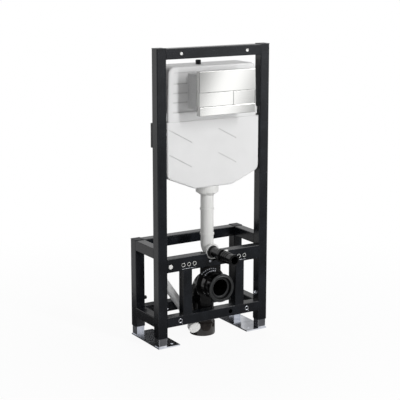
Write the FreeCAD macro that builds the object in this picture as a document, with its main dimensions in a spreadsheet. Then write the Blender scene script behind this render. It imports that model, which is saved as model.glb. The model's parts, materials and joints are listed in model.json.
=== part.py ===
"""Wall-hung toilet frame: a free-standing steel frame with its concealed cistern,
dual-flush plate, flush pipe, drain bend and telescopic feet.

Millimetres, +Z up. The origin is on the floor, in the middle of the frame's width and of
the assembly's depth. The toilet pan hangs on the front, towards -Y.
"""
import FreeCAD
import Part
import math
import os
import re
import Sketcher
from FreeCAD import Placement, Rotation, Vector

# Driving dimensions: name, value in millimetres or degrees, what it measures
SIZES = [
    ("frame_width", 500, "over the outer faces of the uprights"),
    ("frame_depth", 220, "from the uprights' front faces to the rear legs' back faces"),
    ("tube_size", 40, "outside of the square frame tube"),
    ("tube_wall", 2, "wall of the square frame tube"),
    ("tube_corner", 3, "outside corner radius of the square frame tube"),
    ("foot_gap", 40, "floor to the lower ends of the tubes"),
    ("upright_top", 1148, "floor to the upper ends of the uprights"),
    ("rear_top", 392, "floor to the upper ends of the rear legs"),
    ("rail_base", 80, "floor to the undersides of the lower rails"),
    ("cap_lip", 2, "thickness of a tube cap's rim"),
    ("cap_plug", 14, "length of a tube cap's plug"),
    ("fit_gap", 0.3, "clearance of a plug, sleeve or clip on each side"),
    ("crossbar_rise", 31, "pan bolt holes to the top of the pan crossbar"),
    ("crossbar_height", 54, "height of the pan crossbar"),
    ("crossbar_wall", 3, "wall of the pan crossbar"),
    ("notch_width", 68, "width of the crossbar's notch for the flush bend"),
    ("pan_hole", 13, "diameter of the pan bolt holes"),
    ("pan_rise", 101, "drain inlet's axis to the pan bolt holes"),
    ("pan_spread_near", 180, "inner pair of pan bolt holes, centre to centre"),
    ("pan_spread_mid", 230, "middle pair of pan bolt holes, centre to centre"),
    ("pan_spread_far", 280, "outer pair of pan bolt holes, centre to centre"),
    ("wall_hole", 12, "diameter of the top bar's wall fixing holes"),
    ("wall_hole_spread", 292, "top bar's wall fixing holes, centre to centre"),
    ("rail_hole", 12, "diameter of the lower rail's pair of holes"),
    ("rail_hole_spread", 307, "lower rail's pair of holes, centre to centre"),
    ("cable_hole", 17, "diameter of the lower rail's single hole"),
    ("cable_hole_side", 77, "lower rail's single hole to the right of the centre line"),
    ("post_spread", 240, "between the axes of the inner posts"),
    ("post_width", 40, "width of an inner post"),
    ("post_depth", 35, "depth of an inner post"),
    ("foot_leg_size", 35, "outside of a telescopic foot's square tube"),
    ("foot_leg_wall", 2, "wall of a telescopic foot's square tube"),
    ("foot_leg_length", 250, "length of a telescopic foot's square tube"),
    ("foot_plate_width", 95, "width of a foot plate"),
    ("foot_plate_thick", 5, "thickness of a foot plate"),
    ("floor_hole", 12, "diameter of a foot plate's floor fixing holes"),
    ("floor_hole_end", 24, "floor fixing hole to the foot plate's end"),
    ("floor_hole_side", 24, "floor fixing hole to the foot plate's inner edge"),
    ("cistern_gap", 3.5, "gap between the cistern and each upright"),
    ("cistern_setback", 4, "cistern's front behind the uprights' front faces"),
    ("cistern_depth", 116, "depth of the cistern's lower half"),
    ("cistern_wall", 4, "wall of the cistern"),
    ("cistern_drop", 68, "uprights' tops to the top of the cistern"),
    ("cover_height", 207, "cistern's seam to its top"),
    ("hip_drop", 211, "cistern's seam to where its base starts to slope"),
    ("body_height", 261, "cistern's seam to its underside"),
    ("cistern_base_width", 170, "flat width of the cistern's underside"),
    ("cistern_corner", 7, "rounding of the cistern's front corners"),
    ("cistern_hip_round", 26, "rounding where the cistern's base starts to slope"),
    ("emboss_width", 3.2, "width of the cistern's slanting marks"),
    ("emboss_depth", 2, "depth of the cistern's slanting marks"),
    ("emboss_long", 98, "width that a left slanting mark spans"),
    ("emboss_short", 80, "width that a right slanting mark spans"),
    ("emboss_slope", 0.545, "fall of a slanting mark for its width"),
    ("emboss_inset", 106.5, "slanting marks' lower ends to the cistern's sides"),
    ("emboss_drop", 82, "cistern's seam to the upper slanting marks' ends"),
    ("emboss_pitch", 94, "upper to lower slanting marks"),
    ("cover_step", 7, "upper half's side inside the lower half's side"),
    ("cover_taper", 5, "lean of the upper half's side to its top"),
    ("cover_setback", 10, "upper half's front behind the uprights' front faces"),
    ("cover_depth", 106, "depth of the cistern's upper half"),
    ("cover_corner", 28, "rounding of the upper half's top corners"),
    ("cover_edge", 8, "rounding of the upper half's front rim"),
    ("rim_width", 22, "width of the upper half's front rim"),
    ("panel_depth", 6, "depth of the panel inside the front rim"),
    ("groove_width", 4, "height of the panel's grooves"),
    ("groove_depth", 2.5, "depth of the panel's grooves"),
    ("groove_pitch", 35, "height from groove to groove"),
    ("groove_drop", 63, "cistern's top to the panel's highest groove"),
    ("ear_height", 34, "height of the upper half's ears over the seam"),
    ("ear_depth", 30, "depth of the upper half's ears"),
    ("ear_gap", 6, "cistern's seam to the undersides of the upper half's ears"),
    ("strap_height", 92, "height of a cistern bracket"),
    ("strap_depth", 11, "depth of a cistern bracket behind the upright"),
    ("strap_drop", 93, "cistern's seam to the lower edge of a cistern bracket"),
    ("strap_wall", 3, "sheet thickness of a cistern bracket"),
    ("inlet_size", 20, "diameter of the water inlet"),
    ("inlet_bore", 12, "bore of the water inlet"),
    ("inlet_height", 16, "height of the water inlet over the cistern"),
    ("inlet_side", 40, "water inlet to the left of the centre line"),
    ("shaft_width", 214, "outside width of the service shaft"),
    ("shaft_height", 134, "outside height of the service shaft"),
    ("shaft_wall", 3, "wall of the service shaft"),
    ("plate_width", 246, "width of the flush plate"),
    ("plate_height", 164, "height of the flush plate"),
    ("plate_rise", 112, "cistern's seam to the middle of the flush plate"),
    ("plate_reach", 91, "flush plate's front before the uprights' front faces"),
    ("plate_panel", 10, "thickness of the flush plate's front panels"),
    ("plate_backing", 5, "thickness of the flush plate's backing"),
    ("plate_edge", 1.5, "rounding of the flush plate's front edges"),
    ("plate_strip", 34, "height of the flush plate's lower strip"),
    ("button_height", 51, "height of the buttons"),
    ("full_button_width", 149, "width of the full flush button"),
    ("button_thick", 8, "thickness of a button's face"),
    ("button_edge", 0.8, "rounding of a button's front edges"),
    ("button_groove", 1, "gap around a button"),
    ("button_room", 6.5, "free room behind a button"),
    ("stem_size", 8, "diameter of a button's guide stems"),
    ("stem_inset", 24, "guide stem to a button's side"),
    ("stem_length", 18, "length of a button's guide stems"),
    ("pipe_back", 54, "flush pipe's axis behind the uprights' front faces"),
    ("pipe_size", 51, "outside of the flush pipe"),
    ("pipe_wall", 3, "wall of the flush pipe"),
    ("collar_size", 89, "diameter of the cistern's outlet collar"),
    ("collar_height", 27, "height of the cistern's outlet collar"),
    ("collar_cone", 13, "height of the cone below the outlet collar"),
    ("pipe_ring", 56, "diameter of the flush pipe's joint rings"),
    ("pipe_ring_height", 7, "height of the flush pipe's joint rings"),
    ("pipe_ring_share", 0.65, "place of the upper joint ring, as a share of the flush pipe's length"),
    ("bend_rise", 61, "flush outlet's axis to the joint of flush pipe and bend"),
    ("flush_rise", 132, "drain inlet's axis to the flush outlet's axis"),
    ("flush_radius", 30, "bend radius of the flush bend's axis"),
    ("socket_size", 61, "outside of the flush bend's socket"),
    ("socket_length", 11, "length of the flush bend's socket"),
    ("socket_face", 12, "socket's face behind the uprights' front faces"),
    ("connector_size", 39, "outside of the flush connector"),
    ("connector_bore", 30, "bore of the flush connector"),
    ("connector_collar", 48, "diameter of the flush connector's collar"),
    ("connector_collar_length", 16, "length of the flush connector's collar"),
    ("connector_collar_place", 52, "connector's collar before the uprights' front faces"),
    ("connector_rib", 45, "diameter of the flush connector's ribs"),
    ("connector_rib_length", 6, "length of a rib of the flush connector"),
    ("connector_rib_pitch", 13, "rib to rib of the flush connector"),
    ("connector_rib_gap", 8, "connector's collar to its first rib"),
    ("connector_tip", 41, "outside of the flush connector's end"),
    ("connector_plug", 10, "length of the flush connector's plug inside the flush bend"),
    ("connector_plug_size", 44, "outside of the flush connector's plug"),
    ("connector_reach", 143, "connector's end before the uprights' front faces"),
    ("drain_height", 220, "floor to the drain inlet's axis"),
    ("drain_reach", 52, "drain inlet's rim before the uprights' front faces"),
    ("drain_rim", 112, "diameter of the drain inlet's rim"),
    ("drain_rim_length", 7, "length of the drain inlet's rim"),
    ("drain_neck", 98, "diameter of the drain socket behind its rim"),
    ("drain_neck_length", 35, "length of the drain socket's neck"),
    ("drain_shoulder", 108, "diameter of the drain socket at its back"),
    ("drain_mouth", 87, "diameter of the drain inlet's recess"),
    ("drain_mouth_depth", 12, "depth of the drain inlet's recess"),
    ("drain_seal", 66, "bore of the drain socket's seal"),
    ("drain_size", 90, "outside of the drain bend and pipe"),
    ("drain_wall", 4, "wall of the drain bend and pipe"),
    ("drain_gap", 3, "lower rail to the drain pipe"),
    ("drain_drop", 6, "straight end of the drain bend below its arc"),
    ("drain_socket_end", 26, "drain socket's back behind the uprights' front faces"),
    ("drain_foot", 1.5, "floor to the lower end of the drain pipe"),
    ("drain_base", 100, "outside of the drain pipe's wide lower end"),
    ("drain_base_top", 50, "floor to the top of the drain pipe's wide lower end"),
    ("drain_cone", 6, "height of the cone above the drain pipe's wide lower end"),
    ("drain_collar", 95, "diameter of the drain pipe's upper collar"),
    ("drain_collar_length", 26, "length of the drain pipe's upper collar"),
    ("hanger_width", 92, "width of the drain hanger"),
    ("hanger_ring", 130, "diameter of the drain hanger's ring"),
    ("hanger_thick", 6, "thickness of the drain hanger"),
    ("conduit_size", 34, "outside of the service conduit"),
    ("conduit_wall", 3, "wall of the service conduit"),
    ("conduit_side", 54, "conduit's turn to the left of the centre line"),
    ("conduit_height", 100, "floor to the conduit's turn"),
    ("conduit_fall_angle", 55, "slope of the conduit's upper run, in degrees"),
    ("conduit_tilt_angle", 20, "slope of the conduit's outlet, in degrees"),
    ("conduit_swing_angle", 8, "turn of the conduit's outlet to the left, in degrees"),
    ("conduit_run", 140, "length of the conduit's upper run"),
    ("conduit_outlet", 144, "length of the conduit's outlet run"),
    ("conduit_radius", 30, "bend radius of the conduit's axis"),
    ("conduit_cap_size", 47, "diameter of the conduit's cap"),
    ("conduit_cap_length", 20, "length of the conduit's cap"),
]
NAMES = {alias for alias, value, note in SIZES}

doc = FreeCAD.newDocument("toilet_frame")
sheet = doc.addObject("Spreadsheet::Sheet", "sizes")
for row, (alias, value, note) in enumerate(SIZES, start=1):
    sheet.set(f"A{row}", alias)
    sheet.set(f"B{row}", str(value))
    sheet.setAlias(f"B{row}", alias)
    sheet.set(f"C{row}", note)
doc.recompute()

pieces = []

# Levels and planes that several pieces share, as formulas of the sheet's cells
FRONT = "((connector_reach - frame_depth) / 2)"
REAR = f"({FRONT} + frame_depth - tube_size)"
SIDE = "(frame_width / 2)"
CLEAR_WIDTH = "(frame_width - 2 * tube_size)"
CLEAR_DEPTH = "(frame_depth - 2 * tube_size)"
PAN_LEVEL = "(drain_height + pan_rise)"
FLUSH_LEVEL = "(drain_height + flush_rise)"
CROSSBAR_BASE = f"({PAN_LEVEL} + crossbar_rise - crossbar_height)"
COVER_TOP = "(upright_top - cistern_drop)"
COVER_FRONT = f"({FRONT} + cover_setback)"
SEAM = f"({COVER_TOP} - cover_height)"
CISTERN_BASE = f"({SEAM} - body_height)"
CISTERN_HALF = f"({CLEAR_WIDTH} / 2 - cistern_gap)"
COVER_HALF = f"({CISTERN_HALF} - cover_step)"
PLATE_FRONT = f"({FRONT} - plate_reach)"
PLATE_MIDDLE = f"({SEAM} + plate_rise)"
PLATE_LOW = f"({PLATE_MIDDLE} - plate_height / 2)"
BUTTON_BASE = f"({PLATE_LOW} + plate_strip)"
BUTTON_TOP = f"({BUTTON_BASE} + button_height)"
BACKING_FRONT = f"({PLATE_FRONT} + plate_panel + button_room)"
BEND_JOINT = f"({FLUSH_LEVEL} + bend_rise)"
DRAIN_BACK = "(tube_size + drain_gap + drain_size / 2)"
DRAIN_RADIUS = f"({DRAIN_BACK} - drain_socket_end - hanger_thick)"
FULL_TURN = 360
GROOVES = 3
RIBS = 3
TINY = 1e-6


def bound(formula):
    """A formula in which each cell's name points at the sheet."""
    def link(word):
        return "sizes." + word[0] if word[0] in NAMES else word[0]
    return re.sub(r"[a-z_]+", link, formula)


def number(formula):
    """The value that a formula has now."""
    return float(sheet.evalExpression(bound(formula)))


def place(piece, x="0", y="0", z="0", turn=None):
    """Bind a piece's place to the sheet."""
    piece.Placement = Placement(Vector(), turn or Rotation())
    for axis, formula in zip("xyz", (x, y, z)):
        piece.setExpression(f"Placement.Base.{axis}", bound(formula))


def new_piece(label, x="0", y="0", z="0", turn=None):
    """An empty body with its label and place."""
    piece = doc.addObject("PartDesign::Body", label)
    piece.Label = label
    place(piece, x, y, z, turn)
    pieces.append(piece)
    return piece


def new_sketch(piece, role, offset="0"):
    """A sketch on one of the body's own origin planes, moved along the plane's normal."""
    sketch = piece.newObject("Sketcher::SketchObject", "Sketch")
    plane = next(item for item in piece.Origin.OriginFeatures if item.Role == role)
    sketch.AttachmentSupport = (plane, [""])
    sketch.MapMode = "FlatFace"
    sketch.setExpression("AttachmentOffset.Base.z", bound(offset))
    return sketch


def pin_point(sketch, line, end, x, y):
    """Hold a point of a sketch at a place given by two formulas."""
    for axis, formula in (("X", x), ("Y", y)):
        rule = Sketcher.Constraint("Distance" + axis, -1, 1, line, end, number(formula))
        sketch.setExpression(f"Constraints[{sketch.addConstraint(rule)}]", bound(formula))


def outline(sketch, points):
    """A closed outline of straight lines through points given as pairs of formulas."""
    first = sketch.GeometryCount
    places = [Vector(number(x), number(y)) for x, y in points]
    count = len(points)
    for index in range(count):
        sketch.addGeometry(Part.LineSegment(places[index], places[(index + 1) % count]))
    for index, (x, y) in enumerate(points):
        following = (index + 1) % count
        sketch.addConstraint(Sketcher.Constraint("Coincident", first + index, 2, first + following, 1))
        pin_point(sketch, first + index, 1, x, y)


def rectangle(sketch, left, right, low, high):
    """A closed rectangle between four formulas."""
    outline(sketch, [(left, low), (right, low), (right, high), (left, high)])


def circle(sketch, x, y, diameter):
    """A circle with its middle and diameter given by formulas."""
    centre = Vector(number(x), number(y))
    line = sketch.addGeometry(Part.Circle(centre, Vector(0, 0, 1), number(diameter) / 2))
    pin_point(sketch, line, 3, x, y)
    rule = sketch.addConstraint(Sketcher.Constraint("Diameter", line, number(diameter)))
    sketch.setExpression(f"Constraints[{rule}]", bound(diameter))


def pad(piece, sketch, length, backwards=False):
    """Raise a sketch along its plane's normal, or against it."""
    feature = piece.newObject("PartDesign::Pad", "Pad")
    feature.Profile = sketch
    feature.Reversed = backwards
    feature.setExpression("Length", bound(length))
    return feature


def cut(piece, sketch, length, forwards=False):
    """Cut a sketch into the piece against its plane's normal, or along it."""
    doc.recompute()
    before = piece.Shape.Volume
    feature = piece.newObject("PartDesign::Pocket", "Pocket")
    feature.Profile = sketch
    feature.Reversed = forwards
    feature.setExpression("Length", bound(length))
    doc.recompute()
    if not piece.Shape.Volume < before:
        raise RuntimeError(piece.Label + ": a pocket cut nothing")
    return feature


def revolve(piece, sketch, axis):
    """Turn a sketch once round one of its axes."""
    feature = piece.newObject("PartDesign::Revolution", "Revolution")
    feature.Profile = sketch
    feature.ReferenceAxis = (sketch, [axis])
    feature.Angle = FULL_TURN
    return feature


def edges_where(piece, test):
    """Names of the piece's edges that pass a test."""
    doc.recompute()
    return [f"Edge{index}" for index, edge in enumerate(piece.Shape.Edges, start=1) if test(edge)]


def runs_along(edge, axis):
    """Whether an edge is straight and parallel to an axis."""
    if not isinstance(edge.Curve, Part.Line):
        return False
    return abs(abs(edge.Curve.Direction.dot(axis)) - 1) < TINY


def lies_at(edge, axis, level):
    """Whether a whole edge lies at one level along an axis."""
    return all(abs(vertex.Point.dot(axis) - level) < TINY for vertex in edge.Vertexes)


def round_edges(piece, names, radius):
    """Round the named edges of the piece."""
    base = piece.Tip
    feature = piece.newObject("PartDesign::Fillet", "Fillet")
    feature.Base = (base, names)
    feature.setExpression("Radius", bound(radius))
    return feature


AXES = {"X": Vector(1, 0, 0), "Y": Vector(0, 1, 0), "Z": Vector(0, 0, 1)}
PLANES = {"X": "YZ_Plane", "Y": "XZ_Plane", "Z": "XY_Plane"}


def square_tube(label, run, length, wide, high, wall, x, y, z, corner="tube_corner"):
    """A tube along X, Y or Z from its lowest corner, with rounded outside edges."""
    piece = new_piece(label, x, y, z)
    sketch = new_sketch(piece, PLANES[run])
    rectangle(sketch, "0", wide, "0", high)
    pad(piece, sketch, length, backwards=run == "Y")
    round_edges(piece, edges_where(piece, lambda edge: runs_along(edge, AXES[run])), corner)
    bore = new_sketch(piece, PLANES[run])
    rectangle(bore, wall, f"{wide} - {wall}", wall, f"{high} - {wall}")
    cut(piece, bore, length, forwards=run != "Y")
    return piece


def drill_front(piece, holes, depth):
    """Round holes from a piece's front face backwards: middle x, middle z, diameter."""
    sketch = new_sketch(piece, "XZ_Plane")
    for x, z, diameter in holes:
        circle(sketch, x, z, diameter)
    cut(piece, sketch, depth)


def pairs(middle, spreads):
    """The middles of holes in pairs each side of a centre line."""
    return [f"{middle} {sign} {spread} / 2" for spread in spreads for sign in "+-"]


def frame_tube(label, run, length, x, y, z):
    """A length of the frame's square tube."""
    return square_tube(label, run, length, "tube_size", "tube_size", "tube_wall", x, y, z)


def uprights_and_legs():
    """The four standing tubes and the caps that close their tops."""
    standing = (("upright", FRONT, "upright_top"), ("rear_leg", REAR, "rear_top"))
    sides = (("left", f"-{SIDE}"), ("right", f"{SIDE} - tube_size"))
    inset = "(tube_wall + fit_gap)"
    for kind, y, top in standing:
        for side, x in sides:
            frame_tube(f"{side}_{kind}", "Z", f"{top} - foot_gap", x, y, "foot_gap")
            cap = new_piece(f"{side}_{kind}_cap", x, y, top)
            rim = new_sketch(cap, "XY_Plane")
            rectangle(rim, "0", "tube_size", "0", "tube_size")
            pad(cap, rim, "cap_lip")
            upper = edges_where(cap, lambda edge: lies_at(edge, AXES["Z"], number(f"{top} + cap_lip")))
            round_edges(cap, upper, "cap_lip / 2")
            plug = new_sketch(cap, "XY_Plane")
            rectangle(plug, inset, f"tube_size - {inset}", inset, f"tube_size - {inset}")
            pad(cap, plug, "cap_plug", backwards=True)


def cross_rails():
    """The tubes that run across the frame, with their fixing holes."""
    left = f"-{SIDE} + tube_size"
    middle = f"{CLEAR_WIDTH} / 2"
    bar = frame_tube("top_bar", "X", CLEAR_WIDTH, left, FRONT, "upright_top - tube_size")
    holes = [(x, "tube_size / 2", "wall_hole") for x in pairs(middle, ["wall_hole_spread"])]
    drill_front(bar, holes, "tube_size")
    rail = frame_tube("front_lower_rail", "X", CLEAR_WIDTH, left, FRONT, "rail_base")
    holes = [(x, "tube_size / 2", "rail_hole") for x in pairs(middle, ["rail_hole_spread"])]
    holes.append((f"{middle} + cable_hole_side", "tube_size / 2", "cable_hole"))
    drill_front(rail, holes, "tube_size")
    frame_tube("rear_top_rail", "X", CLEAR_WIDTH, left, REAR, "rear_top - tube_size")
    frame_tube("rear_lower_rail", "X", CLEAR_WIDTH, left, REAR, "rail_base")


def side_rails():
    """The short tubes between the uprights and the rear legs."""
    sides = (("left", f"-{SIDE}"), ("right", f"{SIDE} - tube_size"))
    levels = (("top", "rear_top - tube_size"), ("lower", "rail_base"))
    for side, x in sides:
        for level, z in levels:
            frame_tube(f"{side}_{level}_side_rail", "Y", CLEAR_DEPTH, x, f"{FRONT} + tube_size", z)


def pan_crossbar():
    """The deep crossbar that carries the pan bolts, notched for the flush bend."""
    bar = square_tube("pan_bolt_crossbar", "X", CLEAR_WIDTH, "tube_size", "crossbar_height",
                      "crossbar_wall", f"-{SIDE} + tube_size", FRONT, CROSSBAR_BASE)
    middle = f"{CLEAR_WIDTH} / 2"
    spreads = ["pan_spread_near", "pan_spread_mid", "pan_spread_far"]
    level = "crossbar_height - crossbar_rise"
    drill_front(bar, [(x, level, "pan_hole") for x in pairs(middle, spreads)], "tube_size")
    notch = new_sketch(bar, "XZ_Plane")
    circle(notch, middle, f"{FLUSH_LEVEL} - {CROSSBAR_BASE}", "notch_width")
    cut(bar, notch, "tube_size")


def inner_posts():
    """The two short posts between the lower rail and the pan crossbar."""
    low = "(rail_base + tube_size)"
    for side, sign in (("left", "-"), ("right", "+")):
        square_tube(f"{side}_inner_post", "Z", f"{CROSSBAR_BASE} - {low}", "post_width", "post_depth",
                    "tube_wall", f"{sign}post_spread / 2 - post_width / 2", FRONT, low)


def telescopic_feet():
    """Each side's foot plate with the two square legs that slide in the frame's tubes."""
    inset = "((tube_size - foot_leg_size) / 2)"
    sides = (("left", f"-{SIDE}", f"-{SIDE}", "foot_plate_width - floor_hole_side"),
             ("right", f"{SIDE} - tube_size", f"{SIDE} - foot_plate_width", "floor_hole_side"))
    for side, tube_x, plate_x, hole_x in sides:
        for end, y in (("front", f"{FRONT} + {inset}"), ("rear", f"{REAR} + {inset}")):
            square_tube(f"{side}_{end}_foot_leg", "Z", "foot_leg_length", "foot_leg_size",
                        "foot_leg_size", "foot_leg_wall", f"{tube_x} + {inset}", y,
                        "foot_plate_thick", corner="foot_leg_wall")
        plate = new_piece(f"{side}_foot_plate", plate_x, FRONT, "0")
        sketch = new_sketch(plate, "XY_Plane")
        rectangle(sketch, "0", "foot_plate_width", "0", "frame_depth")
        for hole_y in ("floor_hole_end", "frame_depth - floor_hole_end"):
            circle(sketch, hole_x, hole_y, "floor_hole")
        pad(plate, sketch, "foot_plate_thick")


def cistern_brackets():
    """The folded sheet brackets behind the uprights that clip the cistern's sides."""
    reach = "(tube_size + cistern_gap - fit_gap)"
    inner, rim = "strap_depth - strap_wall", "strap_height - strap_wall"
    for side, x in (("left", f"-{SIDE}"), ("right", f"{SIDE} - {reach}")):
        bracket = new_piece(f"{side}_cistern_bracket", x, f"{FRONT} + tube_size", f"{SEAM} - strap_drop")
        sketch = new_sketch(bracket, "YZ_Plane")
        outline(sketch, [("0", "0"), ("strap_depth", "0"), ("strap_depth", "strap_height"),
                         ("0", "strap_height"), ("0", rim), (inner, rim),
                         (inner, "strap_wall"), ("0", "strap_wall")])
        pad(bracket, sketch, reach)


def cistern_body():
    """The cistern's lower half, with a sloping base and a deck that carries the upper half."""
    wall, flat = "cistern_wall", "cistern_base_width / 2"
    hip = f"({SEAM} - hip_drop)"
    body = new_piece("cistern_body", "0", f"{FRONT} + cistern_setback", "0")
    shell = new_sketch(body, "XZ_Plane")
    outline(shell, [(f"-{CISTERN_HALF}", hip), (f"-{flat}", CISTERN_BASE), (flat, CISTERN_BASE),
                    (CISTERN_HALF, hip), (CISTERN_HALF, SEAM), (f"-{CISTERN_HALF}", SEAM)])
    pad(body, shell, "cistern_depth", backwards=True)
    seam = number(SEAM)

    def is_seam(edge):
        return lies_at(edge, AXES["Z"], seam)

    def lower_corner(edge):
        return runs_along(edge, AXES["Y"]) and not is_seam(edge)

    def front_or_back(edge):
        return not runs_along(edge, AXES["Y"]) and not is_seam(edge)

    round_edges(body, edges_where(body, lower_corner), "cistern_hip_round")
    round_edges(body, edges_where(body, front_or_back), "cistern_corner")
    hollow = new_sketch(body, "XZ_Plane", f"-{wall}")
    inner, floor = f"({CISTERN_HALF} - {wall})", f"{CISTERN_BASE} + {wall}"
    bevel = "cistern_hip_round / 2"
    slope = f"((body_height - hip_drop) / ({CISTERN_HALF} - {flat}))"
    upper_bevel = f"{hip} + {wall} + {bevel}"
    lower_bevel = f"{hip} + {wall} - {bevel} * {slope}"
    deck = f"{SEAM} - {wall}"
    outline(hollow, [(f"-{inner}", upper_bevel), (f"-{inner} + {bevel}", lower_bevel),
                     (f"-{flat}", floor), (flat, floor), (f"{inner} - {bevel}", lower_bevel),
                     (inner, upper_bevel), (inner, deck), (f"-{inner}", deck)])
    cut(body, hollow, f"cistern_depth - 2 * {wall}")
    opening = new_sketch(body, "XY_Plane", SEAM)
    across = f"({COVER_HALF} - 3 * {wall})"
    near = f"cover_setback - cistern_setback + panel_depth + 2 * {wall}"
    rectangle(opening, f"-{across}", across, near, f"cover_depth - 2 * {wall}")
    cut(body, opening, wall)
    outlet = new_sketch(body, "XY_Plane", CISTERN_BASE)
    circle(outlet, "0", "pipe_back - cistern_setback", "pipe_size")
    cut(body, outlet, wall, forwards=True)
    marks = new_sketch(body, "XZ_Plane")
    left_end, right_end = f"(emboss_inset - {CISTERN_HALF})", f"({CISTERN_HALF} - emboss_inset)"
    for level in (f"({SEAM} - emboss_drop)", f"({SEAM} - emboss_drop - emboss_pitch)"):
        for end, span in ((left_end, "emboss_long"), (right_end, "emboss_short")):
            rise = f"{level} + emboss_slope * {span}"
            outline(marks, [(end, level), (end, f"{level} + emboss_width"),
                            (f"{end} - {span}", f"{rise} + emboss_width"), (f"{end} - {span}", rise)])
    cut(body, marks, "emboss_depth")


def cistern_cover():
    """The cistern's upper half, with a rounded rim round its grooved panel, and the water inlet."""
    wall = "cistern_wall"
    peak = f"({COVER_HALF} - cover_taper)"
    shoulder = f"({SEAM} + ear_height)"
    cover = new_piece("cistern_cover", "0", COVER_FRONT, "0")
    shell = new_sketch(cover, "XZ_Plane")
    outline(shell, [(f"-{COVER_HALF}", SEAM), (COVER_HALF, SEAM), (COVER_HALF, shoulder), (peak, COVER_TOP),
                    (f"-{peak}", COVER_TOP), (f"-{COVER_HALF}", shoulder)])
    pad(cover, shell, "cover_depth", backwards=True)
    seam, top, face = number(SEAM), number(COVER_TOP), number(COVER_FRONT)

    def top_corner(edge):
        return runs_along(edge, AXES["Y"]) and lies_at(edge, AXES["Z"], top)

    def front_rim(edge):
        return lies_at(edge, AXES["Y"], face) and not lies_at(edge, AXES["Z"], seam)

    round_edges(cover, edges_where(cover, top_corner), "cover_corner")
    round_edges(cover, edges_where(cover, front_rim), "cover_edge")
    hollow = new_sketch(cover, "XZ_Plane", f"-({wall} + panel_depth)")
    inner, lid = f"({COVER_HALF} - 2 * {wall})", f"({peak} - cover_corner / 2 - {wall})"
    roof = f"{COVER_TOP} - {wall}"
    outline(hollow, [(f"-{inner}", SEAM), (inner, SEAM), (inner, shoulder), (lid, roof), (f"-{lid}", roof),
                     (f"-{inner}", shoulder)])
    cut(cover, hollow, f"cover_depth - 2 * {wall} - panel_depth")
    panel = new_sketch(cover, "XZ_Plane")
    edge_low, edge_high = f"({COVER_HALF} - rim_width)", f"({peak} - rim_width)"
    ceiling = f"{COVER_TOP} - rim_width"
    outline(panel, [(f"-{edge_low}", shoulder), (edge_low, shoulder), (edge_high, ceiling),
                    (f"-{edge_high}", ceiling)])
    cut(cover, panel, "panel_depth")
    grooves = new_sketch(cover, "XZ_Plane", "-panel_depth")
    near, far = "(shaft_width / 2 + groove_width)", f"({edge_high})"
    for index in range(GROOVES):
        level = f"{COVER_TOP} - groove_drop - {index} * groove_pitch"
        rectangle(grooves, f"-{far}", f"-{near}", f"{level} - groove_width", level)
        rectangle(grooves, near, far, f"{level} - groove_width", level)
    cut(cover, grooves, "groove_depth")
    window = new_sketch(cover, "XZ_Plane")
    inside, across = "(shaft_height / 2 - shaft_wall)", "(shaft_width / 2 - shaft_wall)"
    rectangle(window, f"-{across}", across, f"{PLATE_MIDDLE} - {inside}", f"{PLATE_MIDDLE} + {inside}")
    cut(cover, window, f"{wall} + panel_depth")
    ears = new_sketch(cover, "XZ_Plane", "-cover_edge")
    ear_base = f"{SEAM} + ear_gap"
    rectangle(ears, f"-{CISTERN_HALF}", f"{wall} - {COVER_HALF}", ear_base, shoulder)
    rectangle(ears, f"{COVER_HALF} - {wall}", CISTERN_HALF, ear_base, shoulder)
    pad(cover, ears, "ear_depth", backwards=True)

    inlet = new_piece("water_inlet", "-inlet_side", f"{FRONT} + pipe_back", COVER_TOP)
    sketch = new_sketch(inlet, "XY_Plane")
    circle(sketch, "0", "0", "inlet_size")
    circle(sketch, "0", "0", "inlet_bore")
    pad(inlet, sketch, "inlet_height")


def flush_plate():
    """The service shaft, the flush plate before it and the plate's two buttons."""
    front_part = "(plate_panel + button_room)"
    depth = f"(plate_reach + cover_setback + panel_depth - {front_part} - plate_backing)"
    square_tube("service_shaft", "Y", depth, "shaft_width", "shaft_height", "shaft_wall",
                "-shaft_width / 2", f"{BACKING_FRONT} + plate_backing", f"{PLATE_MIDDLE} - shaft_height / 2")

    half, high = "plate_width / 2", f"{PLATE_MIDDLE} + plate_height / 2"
    split = f"full_button_width - {half}"
    plate = new_piece("flush_plate", "0", PLATE_FRONT, "0")
    panels = new_sketch(plate, "XZ_Plane")
    rectangle(panels, f"-{half}", half, f"{BUTTON_TOP} + button_groove", high)
    rectangle(panels, f"-{half}", half, PLATE_LOW, f"{BUTTON_BASE} - button_groove")
    pad(plate, panels, front_part, backwards=True)
    face = number(PLATE_FRONT)
    round_edges(plate, edges_where(plate, lambda edge: lies_at(edge, AXES["Y"], face)), "plate_edge")
    backing = new_sketch(plate, "XZ_Plane", f"-{front_part}")
    rectangle(backing, f"-{half}", half, PLATE_LOW, high)
    pad(plate, backing, "plate_backing", backwards=True)
    level = f"{BUTTON_BASE} + button_height / 2"
    buttons = (("full_flush_button", f"-{half}", split),
               ("half_flush_button", f"{split} + button_groove", half))
    holes = new_sketch(plate, "XZ_Plane", f"-{front_part}")
    for label, left, right in buttons:
        for x in (f"{left} + stem_inset", f"{right} - stem_inset"):
            circle(holes, x, level, "stem_size + 2 * fit_gap")
    cut(plate, holes, "plate_backing")
    recess = f"{PLATE_FRONT} + plate_panel - button_thick"
    for label, left, right in buttons:
        button = new_piece(label, "0", recess, "0")
        face = new_sketch(button, "XZ_Plane")
        rectangle(face, left, right, BUTTON_BASE, BUTTON_TOP)
        pad(button, face, "button_thick", backwards=True)
        front_edges = edges_where(button, lambda edge: lies_at(edge, AXES["Y"], number(recess)))
        round_edges(button, front_edges, "button_edge")
        stems = new_sketch(button, "XZ_Plane", "-button_thick")
        for x in (f"{left} + stem_inset", f"{right} - stem_inset"):
            circle(stems, x, level, "stem_size")
        pad(button, stems, "stem_length", backwards=True)


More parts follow.
